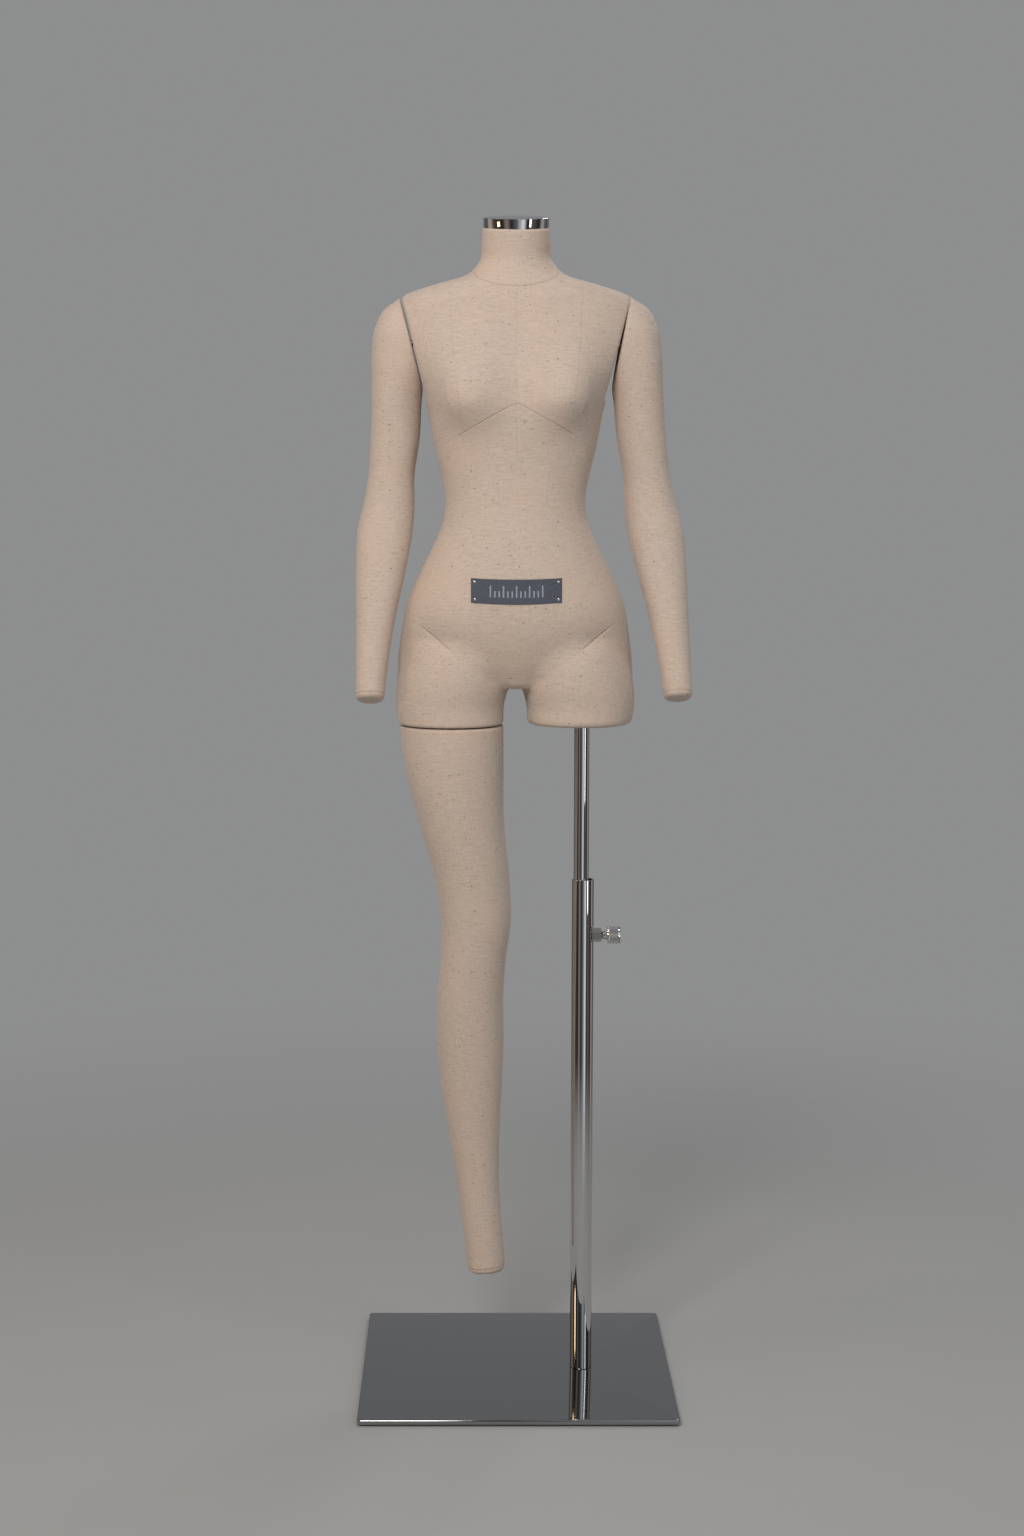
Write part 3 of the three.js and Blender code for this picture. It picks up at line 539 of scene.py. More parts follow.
def linen(name, seam_groups):
    """Undyed slub linen: uneven weft and warp threads, brown and dark flecks, fine sewn seams whose dark line
    is painted shade.
    """
    material, tree, shader = new_material(name, LINEN_COLOUR, 0.88, Sheen_Weight=0.18, Sheen_Roughness=0.5,
                                          Specular_IOR_Level=0.25)
    weft = noise(tree, (75, 75, 750), 4.0, 0.65)
    warp = noise(tree, (700, 700, 65), 4.0, 0.65)
    slubs = ramp(tree, noise(tree, (60, 60, 1300), 1.0), [(0.66, 0.0), (0.74, 1.0)])
    patches = noise(tree, (14, 14, 10), 3.0)
    thread = maths(tree, "ADD", maths(tree, "MULTIPLY", weft, 0.6), maths(tree, "MULTIPLY", warp, 0.4))
    cloth = ramp(tree, thread, [(0.34, LINEN_DARK), (0.5, LINEN_COLOUR), (0.66, LINEN_LIGHT)])
    cloth = mix_colour(tree, maths(tree, "MULTIPLY", slubs, 0.35), cloth, LINEN_LIGHT)
    cloth = mix_colour(tree, ramp(tree, patches, [(0.45, 0.0), (0.7, 0.35)]), cloth, LINEN_ROSE)
    small = flecks(tree, (130, 130, 240), 0.16, 0.55)
    large = flecks(tree, (60, 60, 120), 0.10, 0.5)
    cloth = mix_colour(tree, maths(tree, "MULTIPLY", small, 0.6), cloth, FLECK_BROWN)
    cloth = mix_colour(tree, maths(tree, "MULTIPLY", large, 0.8), cloth, FLECK_DARK)
    line = seam_mask(tree, seam_groups, 0.9 * MM)
    # The dark line along each seam is painted shade, standing for the shadow in the seam's small valley; the
    # bump below only sinks the groove itself.
    cloth = mix_colour(tree, maths(tree, "MULTIPLY", line, 0.32), cloth, (0.25, 0.165, 0.11))
    tree.links.new(cloth, shader.inputs["Base Color"])
    fine = noise(tree, (700, 700, 1500), 2.0, 0.6)
    relief = maths(tree, "ADD", maths(tree, "MULTIPLY", thread, 0.7), maths(tree, "MULTIPLY", fine, 0.3))
    relief = maths(tree, "SUBTRACT", relief, maths(tree, "MULTIPLY", line, 1.2))
    bump(tree, shader, relief, 0.5 * MM, 0.55)
    return material


def polished(name, colour, roughness):
    """Bright plated metal with faint wiping marks in its gloss."""
    material, tree, shader = new_material(name, colour, roughness, 1.0)
    smear = noise(tree, (18, 18, 60), 4.0, 0.6)
    wear = maths(tree, "ADD", roughness * 0.6, maths(tree, "MULTIPLY", smear, roughness * 0.8))
    tree.links.new(wear, shader.inputs["Roughness"])
    return material


def zinc(name):
    """Zinc-plated steel: matt, slightly mottled."""
    material, tree, shader = new_material(name, (0.55, 0.55, 0.53), 0.38, 1.0)
    spangle = noise(tree, (260, 260, 260), 3.0)
    paint(tree, shader, spangle, [(0.3, (0.42, 0.42, 0.41)), (0.7, (0.64, 0.63, 0.6))])
    tree.links.new(ramp(tree, spangle, [(0.3, 0.45), (0.7, 0.3)]), shader.inputs["Roughness"])
    return material


def plywood(name):
    material, tree, shader = new_material(name, (0.5, 0.34, 0.18), 0.7)
    grain = noise(tree, (900, 60, 900), 3.0, 0.6)
    paint(tree, shader, grain, [(0.3, (0.38, 0.23, 0.11)), (0.7, (0.58, 0.42, 0.24))])
    bump(tree, shader, grain, 0.3 * MM, 0.4)
    return material


def grained(name, colour, roughness, grain, depth=0.15 * MM):
    """Plain moulded or laid-up material with a fine grain in its surface."""
    material, tree, shader = new_material(name, colour, roughness)
    texture = noise(tree, (grain, grain, grain), 3.0)
    darker = tuple(channel * 0.8 for channel in colour)
    paint(tree, shader, texture, [(0.35, darker), (0.65, colour)])
    bump(tree, shader, texture, depth, 0.5)
    return material


def label_cloth(name):
    """Close woven blue-grey tape."""
    material, tree, shader = new_material(name, (0.075, 0.085, 0.11), 0.8, Sheen_Weight=0.2)
    weave = maths(tree, "ADD", noise(tree, (250, 250, 2400), 2.0), noise(tree, (2200, 900, 250), 2.0))
    shades = [(0.35, (0.045, 0.052, 0.07)), (0.65, (0.105, 0.118, 0.15))]
    paint(tree, shader, maths(tree, "MULTIPLY", weave, 0.5), shades)
    bump(tree, shader, weave, 0.3 * MM, 0.5)
    return material


def thread_cloth(name, colour):
    material, tree, shader = new_material(name, colour, 0.75, Sheen_Weight=0.3)
    strand = noise(tree, (1800, 900, 350), 2.0)
    paint(tree, shader, strand, [(0.35, tuple(c * 0.72 for c in colour)), (0.65, colour)])
    bump(tree, shader, strand, 0.25 * MM, 0.6)
    return material


# -------- mesh pieces

def new_piece(name, corners, faces):
    mesh = bpy.data.meshes.new(name)
    mesh.from_pydata(np.asarray(corners).tolist(), [], [list(map(int, face)) for face in faces])
    piece = bpy.data.objects.new(name, mesh)
    bpy.context.collection.objects.link(piece)
    return piece


def settle(piece, body, material, stands_for=(), sharp=40):
    """Finishes a piece: smooth faces with crisp edges, its material, its body and the nodes it stands for."""
    mesh = piece.data
    mesh.shade_smooth()
    mesh.set_sharp_from_angle(angle=math.radians(sharp))
    mesh.materials.clear()
    mesh.materials.append(material)
    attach(piece, body)
    if stands_for:
        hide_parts(*stands_for)
    return piece


def filleted(outline, size, closed, steps=3):
    """An outline with a small curve in place of each corner."""
    made = []
    count = len(outline)
    for i, corner in enumerate(outline):
        if not closed and i in (0, count - 1):
            made.append(corner)
            continue
        here, before, after = (Vector(p) for p in (corner, outline[i - 1], outline[(i + 1) % count]))
        start = here + (before - here).normalized() * size
        end = here + (after - here).normalized() * size
        for step in range(steps + 1):
            t = step / steps
            made.append(tuple(start * (1 - t) ** 2 + here * 2 * t * (1 - t) + end * t ** 2))
    return made


def turned(name, outline, sides, place, closed=False, shape=None):
    """A piece turned about its own Z from (radius, height) points in millimetres, then put in place.

    shape(radius, height, angle) may change the radius round the turn, as for a thread or a knurl.
    """
    corners = []
    rings = []
    for radius, height in outline:
        if radius < 1e-6:
            rings.append([len(corners)] * sides)
            corners.append((0, 0, height * MM))
            continue
        rings.append(list(range(len(corners), len(corners) + sides)))
        for side in range(sides):
            angle = math.tau * side / sides
            here = shape(radius, height, angle) if shape else radius
            corners.append((here * math.cos(angle) * MM, here * math.sin(angle) * MM, height * MM))
    faces = []
    pairs = list(zip(rings, rings[1:] + rings[:1])) if closed else list(zip(rings, rings[1:]))
    for low, high in pairs:
        for side in range(sides):
            after = (side + 1) % sides
            ring = [low[side], low[after], high[after], high[side]]
            face = [corner for i, corner in enumerate(ring) if corner != ring[i - 1]]
            if len(face) > 2:
                faces.append(face)
    piece = new_piece(name, corners, faces)
    piece.data.transform(place)
    return piece


def facing(direction, point):
    """Puts a turned piece's own Z along direction, with its start at point."""
    return Matrix.Translation(point) @ Vector(direction).to_track_quat("Z", "Y").to_matrix().to_4x4()


def carve(piece, cutters, operation="DIFFERENCE"):
    """Cuts the cutters out of a piece, or keeps only what they share, and removes them."""
    for cutter in cutters:
        modifier = piece.modifiers.new("carve", "BOOLEAN")
        modifier.operation = operation
        modifier.solver = "MANIFOLD"
        modifier.object = cutter
    bpy.context.view_layer.update()
    done = bpy.data.meshes.new_from_object(piece.evaluated_get(bpy.context.evaluated_depsgraph_get()))
    piece.modifiers.clear()
    piece.data = done
    for cutter in cutters:
        bpy.data.objects.remove(cutter)
    return piece


def disc(radius, low, high, place):
    """A cutter: radius, low and high in millimetres."""
    return turned("cutter", [(0, low), (radius, low), (radius, high), (0, high)], 72, place)


# -------- the linen body

SKIN_STEP = 2.5 * MM
CROTCH = 1012 * MM
STUB_TOP = 1080 * MM
NECK_END = CAP_TOP - NECK_UP * (CAP_HEIGHT - 0.3 * MM)
LEFT_LEAN = math.radians(2.4)
LEFT_LEAN_AT = Vector((157 * MM, 0, 1555 * MM))
LEFT_FACE_FILL = math.radians(1.4)
LIMB_END_ROUND = 9 * MM
SHOULDER_ROUND = 3.5 * MM
HEM_ROUND_AT_LEG = 1.5 * MM
HEM_ROUND_AT_ROD = 9 * MM
SHOULDER_TO_TOP = 60 * MM
POCKET_SPACE = 0.3


def back_share(grid):
    """1 behind the trunk's middle, 0 in front."""
    return ease(grid.y - TRUNK_AT(grid.z)[2], 0, 40 * MM)


def fleshed(body, grid):
    """The trunk's finer shapes, as small changes in the distance to its surface."""
    off = grid.x - BODY_X
    back = back_share(grid)
    front = 1 - ease(grid.y - TRUNK_AT(grid.z)[2], -40 * MM, 0)
    cleft = 3.2 * MM * bell(off, 9 * MM) * between(grid.z, 1020 * MM, 1105 * MM, 24 * MM)
    spine = 1.8 * MM * bell(off, 14 * MM) * between(grid.z, 1170 * MM, 1500 * MM, 60 * MM)
    blades = 4.5 * MM * bell(np.abs(off) - 70 * MM, 32 * MM) * bell(grid.z - 1460 * MM, 42 * MM)
    breastbone = 2.5 * MM * bell(off, 16 * MM) * between(grid.z, 1390 * MM, 1520 * MM, 40 * MM)
    collarbone = 1.8 * MM * bell(grid.z - 1556 * MM - 0.1 * np.abs(off), 7 * MM) * between(
        np.abs(off), 30 * MM, 110 * MM, 22 * MM)
    hips = 3 * MM * bell(np.abs(off) - 96 * MM, 26 * MM) * bell(grid.z - 1110 * MM, 26 * MM)
    across, along = groin_line(np.abs(off), grid.z)
    groin = (1.5 * MM * bell(across, 6 * MM) + 1.5 * MM * bell(across, 15 * MM)) * between(
        along, 10 * MM, GROIN_LENGTH, 22 * MM)
    return (body + back * (cleft + spine - blades)
            + front * (breastbone + groin - collarbone - hips))


def torso_field(grid):
    mirrored = grid.mirrored()
    trunk = grid.column(TRUNK_AT, bust_push)
    trunk = soft_max(trunk, grid.plane((0, 0, CROTCH), (0, 0, -1)), 10 * MM)
    body = trunk
    meeting = 9 * MM + 30 * MM * back_share(grid)
    for side in (grid, mirrored):
        stub = soft_max(side.column(STUB_AT), grid.plane((0, 0, STUB_TOP), (0, 0, 1)), 10 * MM)
        body = soft_min(body, stub, meeting)
    body = fleshed(body, grid)
    hem_round = HEM_ROUND_AT_LEG + (HEM_ROUND_AT_ROD - HEM_ROUND_AT_LEG) * ease(grid.x, -20 * MM, 20 * MM)
    body = soft_max(body, grid.plane((0, 0, STUB_BOTTOM), (0, 0, -1)), hem_round)
    for side in (grid, mirrored):
        shoulder = np.minimum(side.plane(SHOULDER, SHOULDER_OUT), side.z - ARMPIT)
        body = soft_max(body, shoulder, SHOULDER_ROUND)
    return soft_max(body, grid.plane(NECK_END, NECK_UP), 2 * MM)


def arm_field(grid, fill=0):
    """The right arm; fill turns its shoulder face toward the torso, about the shoulder's top."""
    body = grid.column(ARM_AT)
    up_the_face = Vector((-SHOULDER_OUT.z, 0, SHOULDER_OUT.x))
    top = SHOULDER + SHOULDER_OUT * ARM_GAP + up_the_face * SHOULDER_TO_TOP
    facing_in = Matrix.Rotation(fill, 3, "Y") @ -SHOULDER_OUT
    body = soft_max(body, grid.plane(top, facing_in), SHOULDER_ROUND)
    return soft_max(body, grid.plane(WRIST, WRIST_OUT), LIMB_END_ROUND)


LEG_END_OUT = Vector((0.10, 0, -1)).normalized()
LEG_END = Vector((-68 * MM, 0, LEG_BOTTOM + 0.5 * MM))


def leg_field(grid):
    body = grid.column(LEG_AT)
    body = soft_max(body, grid.plane((0, 0, LEG_TOP), (0, 0, 1)), HEM_ROUND_AT_LEG)
    return soft_max(body, grid.plane(LEG_END, LEG_END_OUT), LIMB_END_ROUND)


def skin(name, field, node, *settings):
    """The surface of a field, over the room that a node takes up."""
    low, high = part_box(node)
    grid = Grid(low, high, SKIN_STEP)
    corners, faces = surface(field(grid, *settings), grid)
    return new_piece(name, relax(corners, faces, 3), faces)


def mirror_and_lean():
    """Takes the right arm over to the left shoulder, where it hangs a little further out."""
    flip = Matrix.Translation((2 * BODY_X, 0, 0)) @ Matrix.Scale(-1, 4, (1, 0, 0))
    lean = Matrix.Rotation(-LEFT_LEAN, 4, "Y")
    return Matrix.Translation(LEFT_LEAN_AT) @ lean @ Matrix.Translation(-LEFT_LEAN_AT) @ flip


def pocket(place):
    """Room for a fitting plate in the cover, with its own Z pointing out of the cover."""
    return disc(FITTING_RADIUS / MM + POCKET_SPACE, -COVER / MM, 4, place)


def arm_skin(name, face_fill):
    """An arm's cover as it hangs at the right shoulder, with its fitting's pocket and its seams."""
    arm = skin(name, arm_field, "right_arm_cover", face_fill)
    carve(arm, [pocket(facing(-SHOULDER_OUT, SHOULDER + SHOULDER_OUT * ARM_GAP))])
    sew(arm.data, limb_seams(ARM_AT, WRIST, WRIST_OUT))
    return arm


def body_linen():
    limb_seam = linen("limb_linen", 1)
    left_out = Vector((-SHOULDER_OUT.x, 0, SHOULDER_OUT.z))
    left_shoulder = Vector((2 * BODY_X - SHOULDER.x, SHOULDER.y, SHOULDER.z))
    torso = skin("torso_linen", torso_field, "torso_cover")
    carve(torso, [pocket(facing(SHOULDER_OUT, SHOULDER)), pocket(facing(left_out, left_shoulder)),
                  pocket(facing((0, 0, -1), (THIGH.x, THIGH.y, STUB_BOTTOM))),
                  disc(ROD_RADIUS / MM + 2.9, 950, 1111, Matrix.Translation((ROD.x, ROD.y, 0)))])
    groups = sew(torso.data, torso_seams())
    settle(torso, "torso", linen("torso_linen", groups), ["torso_cover"], 55)

    arm, other = arm_skin("right_arm_linen", 0), arm_skin("left_arm_linen", LEFT_FACE_FILL)
    other.data.transform(mirror_and_lean())
    other.data.flip_normals()
    settle(arm, "right_arm", limb_seam, ["right_arm_cover"], 55)
    settle(other, "left_arm", limb_seam, ["left_arm_cover"], 55)

    leg = skin("leg_linen", leg_field, "leg_cover")
    carve(leg, [pocket(facing((0, 0, 1), (THIGH.x, THIGH.y, LEG_TOP)))])
    sew(leg.data, limb_seams(LEG_AT, LEG_END, LEG_END_OUT))
    settle(leg, "leg", limb_seam, ["leg_cover"], 55)
    return torso


# -------- stand, clamp and neck cap

TUBE_WALL = 2
ROD_WALL = 1.5
THREAD_SPACE = 0.3


def upright(name, node, place, radius, wall, rounding):
    """A pipe as tall as its node, with rounded rims."""
    low, high = (corner.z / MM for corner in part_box(node))
    radius /= MM
    outline = [(radius - wall, low), (radius, low), (radius, high), (radius - wall, high)]
    at_pole = Matrix.Translation((place.x, place.y, 0))
    return turned(name, filleted(outline, rounding, True), 96, at_pole, True)


def stand_pieces(finish):
    tube = upright("stand_tube", "outer_tube", TUBE, TUBE_RADIUS, TUBE_WALL, 0.8)
    across = facing((1, 0, 0), (TUBE.x, TUBE.y, middle("clamp_knob").z))
    thread_room = radius_of("clamp_screw", 2) / MM + THREAD_SPACE
    carve(tube, [disc(thread_room, 0, 40, across)])
    settle(tube, "stand", finish["chrome"], ["outer_tube"], 30)

    rod = upright("height_rod", "inner_rod", ROD, ROD_RADIUS, ROD_WALL, 0.5)
    settle(rod, "rod", finish["chrome"], ["inner_rod"], 30)

    settle(base_plate(), "stand", finish["mirror_steel"], ["base_plate"], 40)
    for i in range(1, 5):
        settle(foot_pad(i), "stand", finish["rubber"], [f"foot_pad_{i}"])


def foot_pad(i):
    low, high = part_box(f"foot_pad_{i}")
    wide, tall = (high.x - low.x) / 2 / MM, (high.z - low.z) / MM
    outline = filleted([(0, 0), (wide, 0), (wide, tall), (0, tall)], 0.6, False)
    place = Matrix.Translation(((low.x + high.x) / 2, (low.y + high.y) / 2, 0))
    return turned(f"foot_{i}", outline, 48, place)


BOLT_SPACE = 0.3
BOLT_HEAD_ROOM = 2.8
SHANK_ROOM = 5.3
PLATE_CORNER = 6
PLATE_ROLL = 3.2
CORNER_STEPS = 9


def base_plate():
    """A square plate with rounded corners, rolled edges and a countersunk hole under the pole."""
    low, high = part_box("base_plate")
    half, bottom, top = (high.x - low.x) / 2 / MM, low.z / MM, high.z / MM
    section = [(0, bottom), (PLATE_ROLL, bottom), (PLATE_ROLL, top), (0, top)]
    edge = filleted(section, PLATE_ROLL, False, 6)
    corners = []
    for out, height in edge[1:-1]:
        reach = PLATE_CORNER - PLATE_ROLL + out
        for quarter, (x, y) in enumerate(((1, 1), (-1, 1), (-1, -1), (1, -1))):
            for step in range(CORNER_STEPS):
                angle = math.radians(90 * quarter + 11.25 * step)
                corners.append(((x * (half - PLATE_CORNER) + reach * math.cos(angle)) * MM,
                                (y * (half - PLATE_CORNER) + reach * math.sin(angle)) * MM, height * MM))
    ring = 4 * CORNER_STEPS
    rows = len(corners) // ring
    faces = []
    for row in range(rows - 1):
        for i in range(ring):
            here, after = row * ring + i, row * ring + (i + 1) % ring
            faces.append([here, after, after + ring, here + ring])
    faces += [list(range(ring))[::-1], list(range((rows - 1) * ring, rows * ring))]
    plate = new_piece("polished_base", corners, faces)
    head = radius_of("base_bolt") / MM + BOLT_SPACE
    hole = [(0, 0), (head, 0), (head, BOLT_HEAD_ROOM), (SHANK_ROOM, 7), (SHANK_ROOM, 12), (0, 12)]
    return carve(plate, [turned("cutter", hole, 48, Matrix.Translation((TUBE.x, TUBE.y, 0)))])


THREAD_PITCH = 1.5
THREAD_DEPTH = 0.7
NUT_START = 8
COLLAR_LENGTH = 6.1
COLLAR_RADIUS = 6.3
RIDGES = 40
RIDGE_DEPTH = 0.5


def clamp_span(node):
    """How far from the tube's middle a clamp piece starts and ends, in millimetres."""
    return [(corner.x - TUBE.x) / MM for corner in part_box(node)]


def weld_nut(along, thread):
    """A hexagon with chamfered corners, hollowed to sit against the tube and take the thread."""
    end = clamp_span("clamp_weld_nut")[1]
    points = radius_of("clamp_weld_nut", 2) / MM
    flats = points * math.cos(math.pi / 6)
    nut = turned("weld_nut", [(0, NUT_START), (points, NUT_START), (points, end), (0, end)], 6,
                 along @ Matrix.Rotation(math.radians(30), 4, "Z"))
    rim, wide = end - 1.1, flats + 1.6
    chamfer = [(0, NUT_START), (wide, NUT_START), (wide, rim - 0.3), (points - 0.3, rim), (flats - 0.4, end),
               (0, end)]
    carve(nut, [turned("cutter", chamfer, 72, along)], "INTERSECT")
    tube_room = disc(TUBE_RADIUS / MM + 0.1, 0, 900, Matrix.Translation((TUBE.x, TUBE.y, 0)))
    return carve(nut, [tube_room, disc(thread + THREAD_SPACE, 0, 60, along)])


def clamp_thread(along, thread):
    """The screw's thread, cut as one helix that fades in at its tip."""
    tip, end = clamp_span("clamp_screw")
    rows = int((end - tip) / (THREAD_PITCH / 8))

    def threaded(radius, height, angle):
        turn = (height / THREAD_PITCH - angle / math.tau) % 1
        return radius - THREAD_DEPTH * abs(2 * turn - 1) * float(np.clip((height - tip) / 1.2, 0, 1))

    levels = [tip + (end - tip) * i / rows for i in range(rows + 1)]
    outline = [(0, tip)] + [(thread, level) for level in levels] + [(0, end)]
    return turned("clamp_thread", outline, 48, along, shape=threaded)


def knurled_knob(along, thread):
    """A collar and a gripped head with a plain rim and a dished end, bored for the screw."""
    start, end = clamp_span("clamp_knob")
    head = radius_of("clamp_knob", 2) / MM
    head_start = start + COLLAR_LENGTH

    def knurled(radius, height, angle):
        gripped = between(height, head_start + 2.2, end - 1.6, 0.3) if radius > head - 0.2 else 0
        return radius - RIDGE_DEPTH * gripped * (0.5 - 0.5 * math.cos(RIDGES * angle))

    bore = clamp_span("clamp_screw")[1] + THREAD_SPACE
    inner = [(0, bore), (thread + THREAD_SPACE, bore), (thread + THREAD_SPACE, start)]
    collar = [(COLLAR_RADIUS, start), (COLLAR_RADIUS, head_start), (head - 0.9, head_start)]
    grip = [(head, head_start + 1.4 + (end - head_start - 2.4) * i / 14) for i in range(15)]
    dish = [(head - 1.2, end), (head - 2.4, end), (head - 2.8, end - 0.6), (0, end - 0.6)]
    return turned("knurled_knob", inner + collar + grip + dish, 320, along, shape=knurled)


def clamp_pieces(finish):
    along = facing((1, 0, 0), Vector((TUBE.x, TUBE.y, middle("clamp_knob").z)))
    thread = radius_of("clamp_screw", 2) / MM
    zinc_finish = finish["bright_zinc"]
    settle(weld_nut(along, thread), "stand", zinc_finish, ["clamp_weld_nut"], 30)
    settle(clamp_thread(along, thread), "clamp_screw", zinc_finish, ["clamp_screw"], 50)
    settle(knurled_knob(along, thread), "clamp_knob", finish["satin_chrome"], ["clamp_knob"], 35)


CAP_WALL = 1.5
CAP_ROUND = 0.9


def neck_pieces(finish):
    height, radius = CAP_HEIGHT / MM, CAP_RADIUS / MM
    inside = radius - CAP_WALL
    skirt = [(inside, -height), (radius, -height), (radius, 0), (0, 0)]
    outline = [(0, -CAP_WALL), (inside, -CAP_WALL), (inside, -height)] + filleted(skirt, CAP_ROUND, False)[1:]
    cap = turned("polished_neck_cap", outline, 160, facing(NECK_UP, CAP_TOP))
    settle(cap, "torso", finish["chrome"], ["neck_cap"], 30)


# -------- label

LABEL_THICK = 0.8 * MM
TICK_PITCH = 6 * MM
TICKS = 13
LABEL_BOW = 2 * MM
LABEL_HALF = 63 * MM
LABEL_LIFT = 0.1 * MM
LABEL_WAVE = 0.9 * MM
TICK_HALF = 1.1 * MM
TICK_THICK = 0.55 * MM


def bowed(x, z):
    """The height of a point of the label once it is hung with its middle lower than its ends."""
    return z + LABEL_BOW * ((x - BODY_X) / LABEL_HALF) ** 2


def front_of(torso):
    """A function giving the point of the torso's front at (x, z), and the cloth's normal there."""
    mesh = torso.data
    tree = BVHTree.FromPolygons([v.co for v in mesh.vertices], [p.vertices for p in mesh.polygons])

    def at(x, z):
        point, normal, _, _ = tree.ray_cast(Vector((x, -1, z)), Vector((0, 1, 0)))
        return point, normal

    return at


def draped_patch(name, front, x0, x1, z0, z1, columns, rows, low, high, wave=0.0):
    """A closed thin patch over the torso's front, from low to high above its surface."""
    corners = []
    for lift in (high, low):
        for row in range(rows + 1):
            for column in range(columns + 1):
                u, v = column / columns, row / rows
                x, z = x0 + (x1 - x0) * u, z0 + (z1 - z0) * v
                point, normal = front(x, bowed(x, z))
                edge = min(u * (x1 - x0), (1 - u) * (x1 - x0), v * (z1 - z0), (1 - v) * (z1 - z0))
                loose = wave * math.sin(math.pi * u) ** 2 * (2 * v - 1) ** 2
                turn = 0 if lift is low else min(edge / (0.5 * MM), 1) - 1
                corners.append(point + normal * (lift + loose + turn * 0.35 * (high - low)))
    across = columns + 1
    sheet = (rows + 1) * across
    faces = []
    for row in range(rows):
        for column in range(columns):
            a = row * across + column
            quad = [a, a + 1, a + 1 + across, a + across]
            faces += [quad, [corner + sheet for corner in reversed(quad)]]
    rim = ([row_start for row_start in range(0, across - 1)]
           + [row * across + columns for row in range(rows)]
           + [rows * across + column for column in range(columns, 0, -1)]
           + [row * across for row in range(rows, 0, -1)])
    for here, after in zip(rim, rim[1:] + rim[:1]):
        faces.append([after, here, here + sheet, after + sheet])
    return new_piece(name, corners, faces)


def label_pieces(torso, finish):
    front = front_of(torso)
    low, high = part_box("label_patch")
    patch = draped_patch("tape_label", front, low.x, high.x, low.z, high.z, 84, 26, LABEL_LIFT,
                         LABEL_LIFT + LABEL_THICK, LABEL_WAVE)
    settle(patch, "torso", finish["label_cloth"], ["label_patch"], 60)

    sewing = []
    centre = (low + high) / 2
    for i in range(TICKS):
        x = centre.x + (i - (TICKS - 1) / 2) * TICK_PITCH
        tall = 16 * MM if i % 3 == 0 else 9 * MM
        base = low.z + 9 * MM
        sewing.append(draped_patch(f"tick_{i}", front, x - TICK_HALF, x + TICK_HALF, base, base + tall, 4, 12,
                                   LABEL_THICK, LABEL_THICK + TICK_THICK))
    bpy.ops.object.select_all(action="DESELECT")
    for piece in sewing:
        piece.select_set(True)
    bpy.context.view_layer.objects.active = sewing[0]
    bpy.ops.object.join()
    ticks = sewing[0]
    ticks.name = "label_ticks"
    settle(ticks, "torso", finish["tick_thread"], sharp=60)

    for i in range(1, 5):
        node = f"label_pin_{i}"
        at = middle(node)
        point, normal = front(at.x, bowed(at.x, at.z))
        head = radius_of(node) / MM
        shank, dome = [(0, -8), (0.7, -7), (0.7, 0.1)], [(head * 0.9, 0.7), (head * 0.5, 1.35), (0, 1.5)]
        outline = filleted(shank + [(head, 0.1)] + dome, 0.25, False)
        on_label = point + normal * (LABEL_THICK + LABEL_LIFT)
        pin = turned(f"domed_pin_{i}", outline, 40, facing(normal, on_label))
        settle(pin, "torso", finish["nickel"], [node], 50)


# -------- camera, light and floor

BACKDROP = (0.27, 0.272, 0.275)
FLOOR_RADIUS = 3.2
FLOOR_SIDES = 96
CAMERA_AT = (-65.85 * MM, -3541.5 * MM, 1303.4 * MM)
CAMERA_DIP = 0.115
# What polished metal reflects, round the room from in front by the form's right: share of a turn, colour.
PANELS = [
    (0.00, (0.12, 0.12, 0.125)), (0.05, (0.03, 0.03, 0.035)), (0.10, (0.26, 0.21, 0.17)),
    (0.14, (0.03, 0.028, 0.025)), (0.23, (0.06, 0.05, 0.04)), (0.30, (0.50, 0.42, 0.35)),
    (0.35, (0.10, 0.09, 0.085)), (0.50, (0.24, 0.242, 0.245)), (0.66, (0.10, 0.095, 0.09)),
    (0.71, (0.40, 0.37, 0.35)), (0.76, (0.03, 0.025, 0.025)), (0.85, (0.12, 0.10, 0.09)),
    (0.89, (0.02, 0.02, 0.025)), (0.935, (0.85, 0.87, 0.90)), (0.965, (0.45, 0.46, 0.48)),
    (1.00, (0.12, 0.12, 0.125)),
]


def soft_light(name, point, aim, width, height, power, colour=(1, 1, 1)):
    data = bpy.data.lights.new(name, "AREA")
    data.shape = "RECTANGLE"
    data.size, data.size_y = width, height
    data.energy = power
    data.color = colour
    light = bpy.data.objects.new(name, data)
    light.location = point
    light.rotation_euler = (Vector(aim) - Vector(point)).to_track_quat("-Z", "Y").to_euler()
    bpy.context.collection.objects.link(light)


def viewpoint():
    data = bpy.data.cameras.new("camera")
    data.lens = 58.2
    data.sensor_width = 36
    data.shift_x = 0.0266
    camera = bpy.data.objects.new("camera", data)
    camera.location = CAMERA_AT
    camera.rotation_euler = (math.pi / 2 - CAMERA_DIP, 0, 0)
    bpy.context.collection.objects.link(camera)
    bpy.context.scene.camera = camera
    bpy.context.scene.view_settings.view_transform = "Standard"


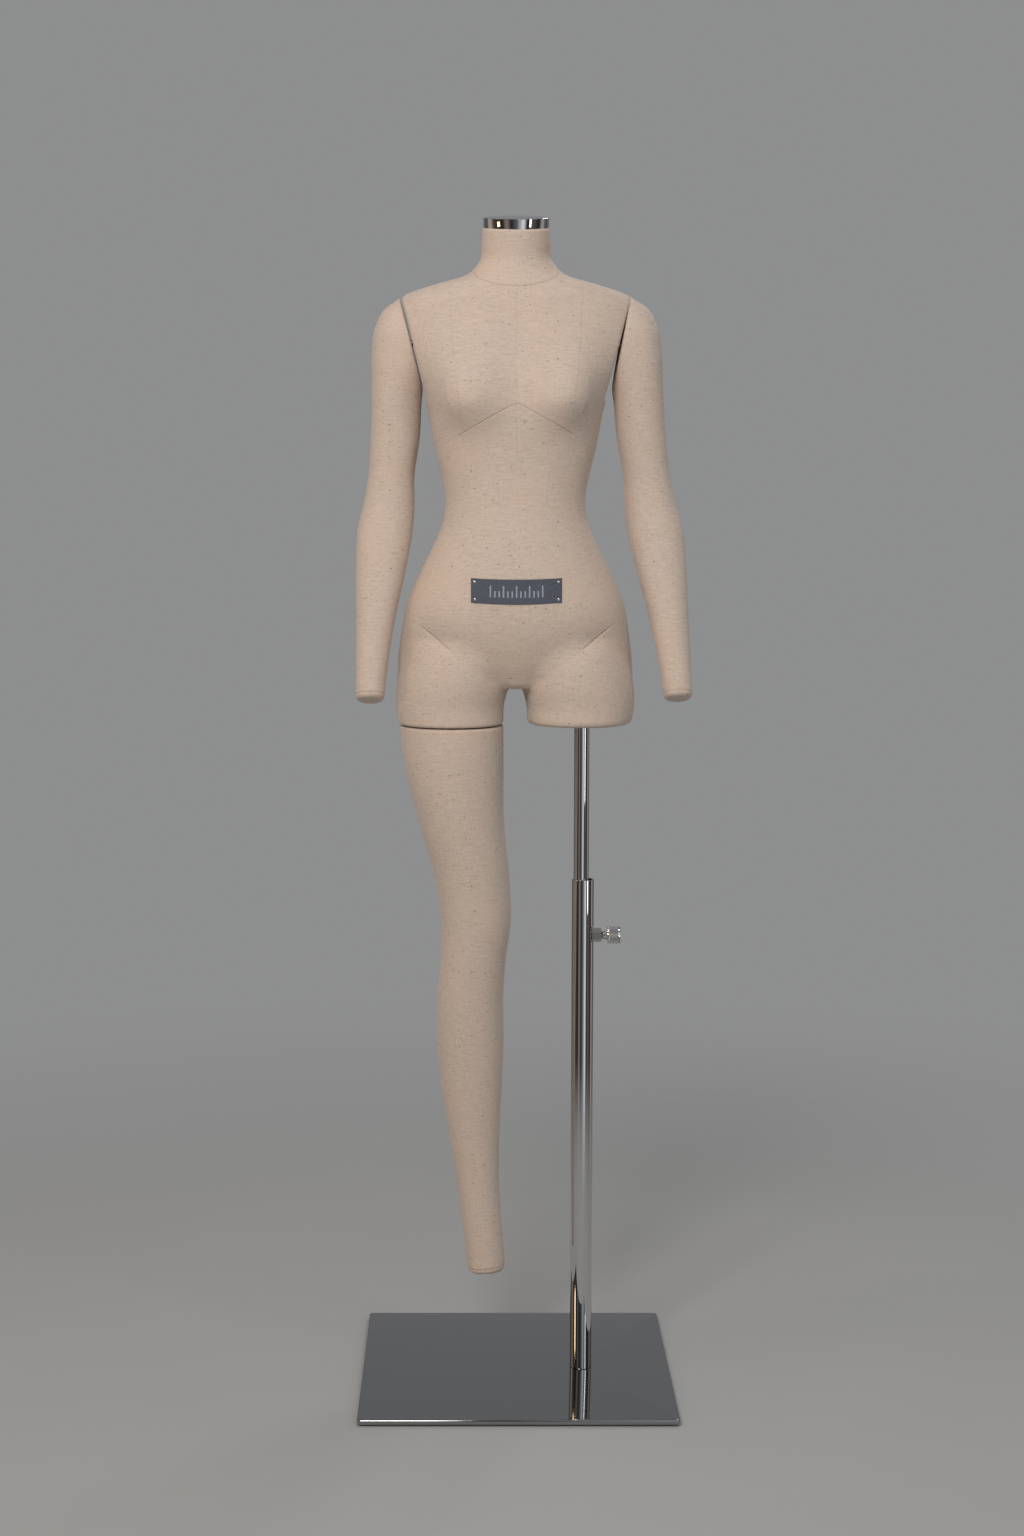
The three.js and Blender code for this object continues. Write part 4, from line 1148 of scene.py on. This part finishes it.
def studio():
    turns = [math.tau * i / FLOOR_SIDES for i in range(FLOOR_SIDES)]
    rim = [(FLOOR_RADIUS * math.cos(turn), FLOOR_RADIUS * math.sin(turn), 0) for turn in turns]
    floor = new_piece("floor", rim, [tuple(range(FLOOR_SIDES))])
    floor.data.materials.append(floor_paint())
    bpy.context.scene.world = studio_world()
    soft_light("key", (-0.9, -2.9, 3.2), (0, 0, 1.2), 1.3, 1.3, 80, (1, 0.965, 0.935))
    soft_light("fill", (2.6, -2.2, 1.7), (0, 0, 1.0), 0.4, 2.2, 10, (0.92, 0.96, 1))
    soft_light("lamp", (-2.6, -1.2, 1.3), (0, 0, 1.15), 0.5, 0.5, 5, (1, 0.68, 0.36))
    soft_light("back", (1.5, 2.2, 3.4), (0, 0, 1.1), 1.2, 1.2, 22)


def floor_paint():
    """Pale matt paint that thins out into the room's own colour in the distance."""
    material, tree, shader = new_material("floor_paint", (0.43, 0.43, 0.425), 0.7, Specular_IOR_Level=0.2)
    cloudy = noise(tree, (1.5, 1.5, 1.5), 4.0)
    paint(tree, shader, cloudy, [(0.3, (0.42, 0.42, 0.415)), (0.7, (0.44, 0.44, 0.435))])
    place = add_node(tree, "TexCoord").outputs["Object"]
    away = add_node(tree, "VectorMath", {0: place}, operation="LENGTH").outputs["Value"]
    fade = {0: away, 1: FLOOR_RADIUS * 0.15, 2: FLOOR_RADIUS * 0.85}
    far = add_node(tree, "MapRange", fade, interpolation_type="SMOOTHSTEP").outputs[0]
    clear = add_node(tree, "BsdfTransparent")
    mixed = add_node(tree, "MixShader", {0: far, 1: shader.outputs[0], 2: clear.outputs[0]})
    tree.links.new(mixed.outputs[0], tree.nodes["Material Output"].inputs[0])
    return material


def studio_world():
    """An even pale room, with the panels and dark gaps that polished metal shows."""
    world = bpy.data.worlds.new("studio")
    world.use_nodes = True
    tree = world.node_tree
    way = add_node(tree, "SeparateXYZ", {0: add_node(tree, "TexCoord").outputs["Generated"]}).outputs
    turn = maths(tree, "DIVIDE", maths(tree, "ARCTAN2", way[0], way[1]), math.tau)
    turn = maths(tree, "ADD", turn, 0.5)
    panels = ramp(tree, turn, PANELS, "EASE")
    glossy = add_node(tree, "LightPath").outputs["Is Glossy Ray"]
    colour = mix_colour(tree, glossy, BACKDROP, panels)
    tree.links.new(colour, tree.nodes["Background"].inputs[0])
    return world


# -------- the whole object

def finishes():
    return {
        "linen": linen("linen", 0),
        "glass_fibre": grained("glass_fibre", (0.62, 0.57, 0.44), 0.6, 300),
        "plywood": plywood("plywood"),
        "mirror_steel": polished("mirror_steel", (0.36, 0.365, 0.375), 0.06),
        "chrome": polished("chrome", (0.66, 0.66, 0.67), 0.04),
        "satin_chrome": polished("satin_chrome", (0.70, 0.69, 0.67), 0.12),
        "zinc_steel": zinc("zinc_steel"),
        "bright_zinc": polished("bright_zinc", (0.62, 0.60, 0.57), 0.09),
        "rubber": grained("rubber", (0.02, 0.02, 0.02), 0.75, 900),
        "black_plastic": grained("black_plastic", (0.022, 0.022, 0.025), 0.45, 600),
        "label_cloth": label_cloth("label_cloth"),
        "tick_thread": thread_cloth("tick_thread", (0.34, 0.37, 0.44)),
        "nickel": polished("nickel", (0.75, 0.72, 0.66), 0.12),
    }


finish = finishes()
for node in NODES.values():
    slot_name = node.data.materials[0].name.split(".")[0]
    node.data.materials[0] = finish[slot_name]
viewpoint()
studio()
torso = body_linen()
stand_pieces(finish)
clamp_pieces(finish)
neck_pieces(finish)
label_pieces(torso, finish)
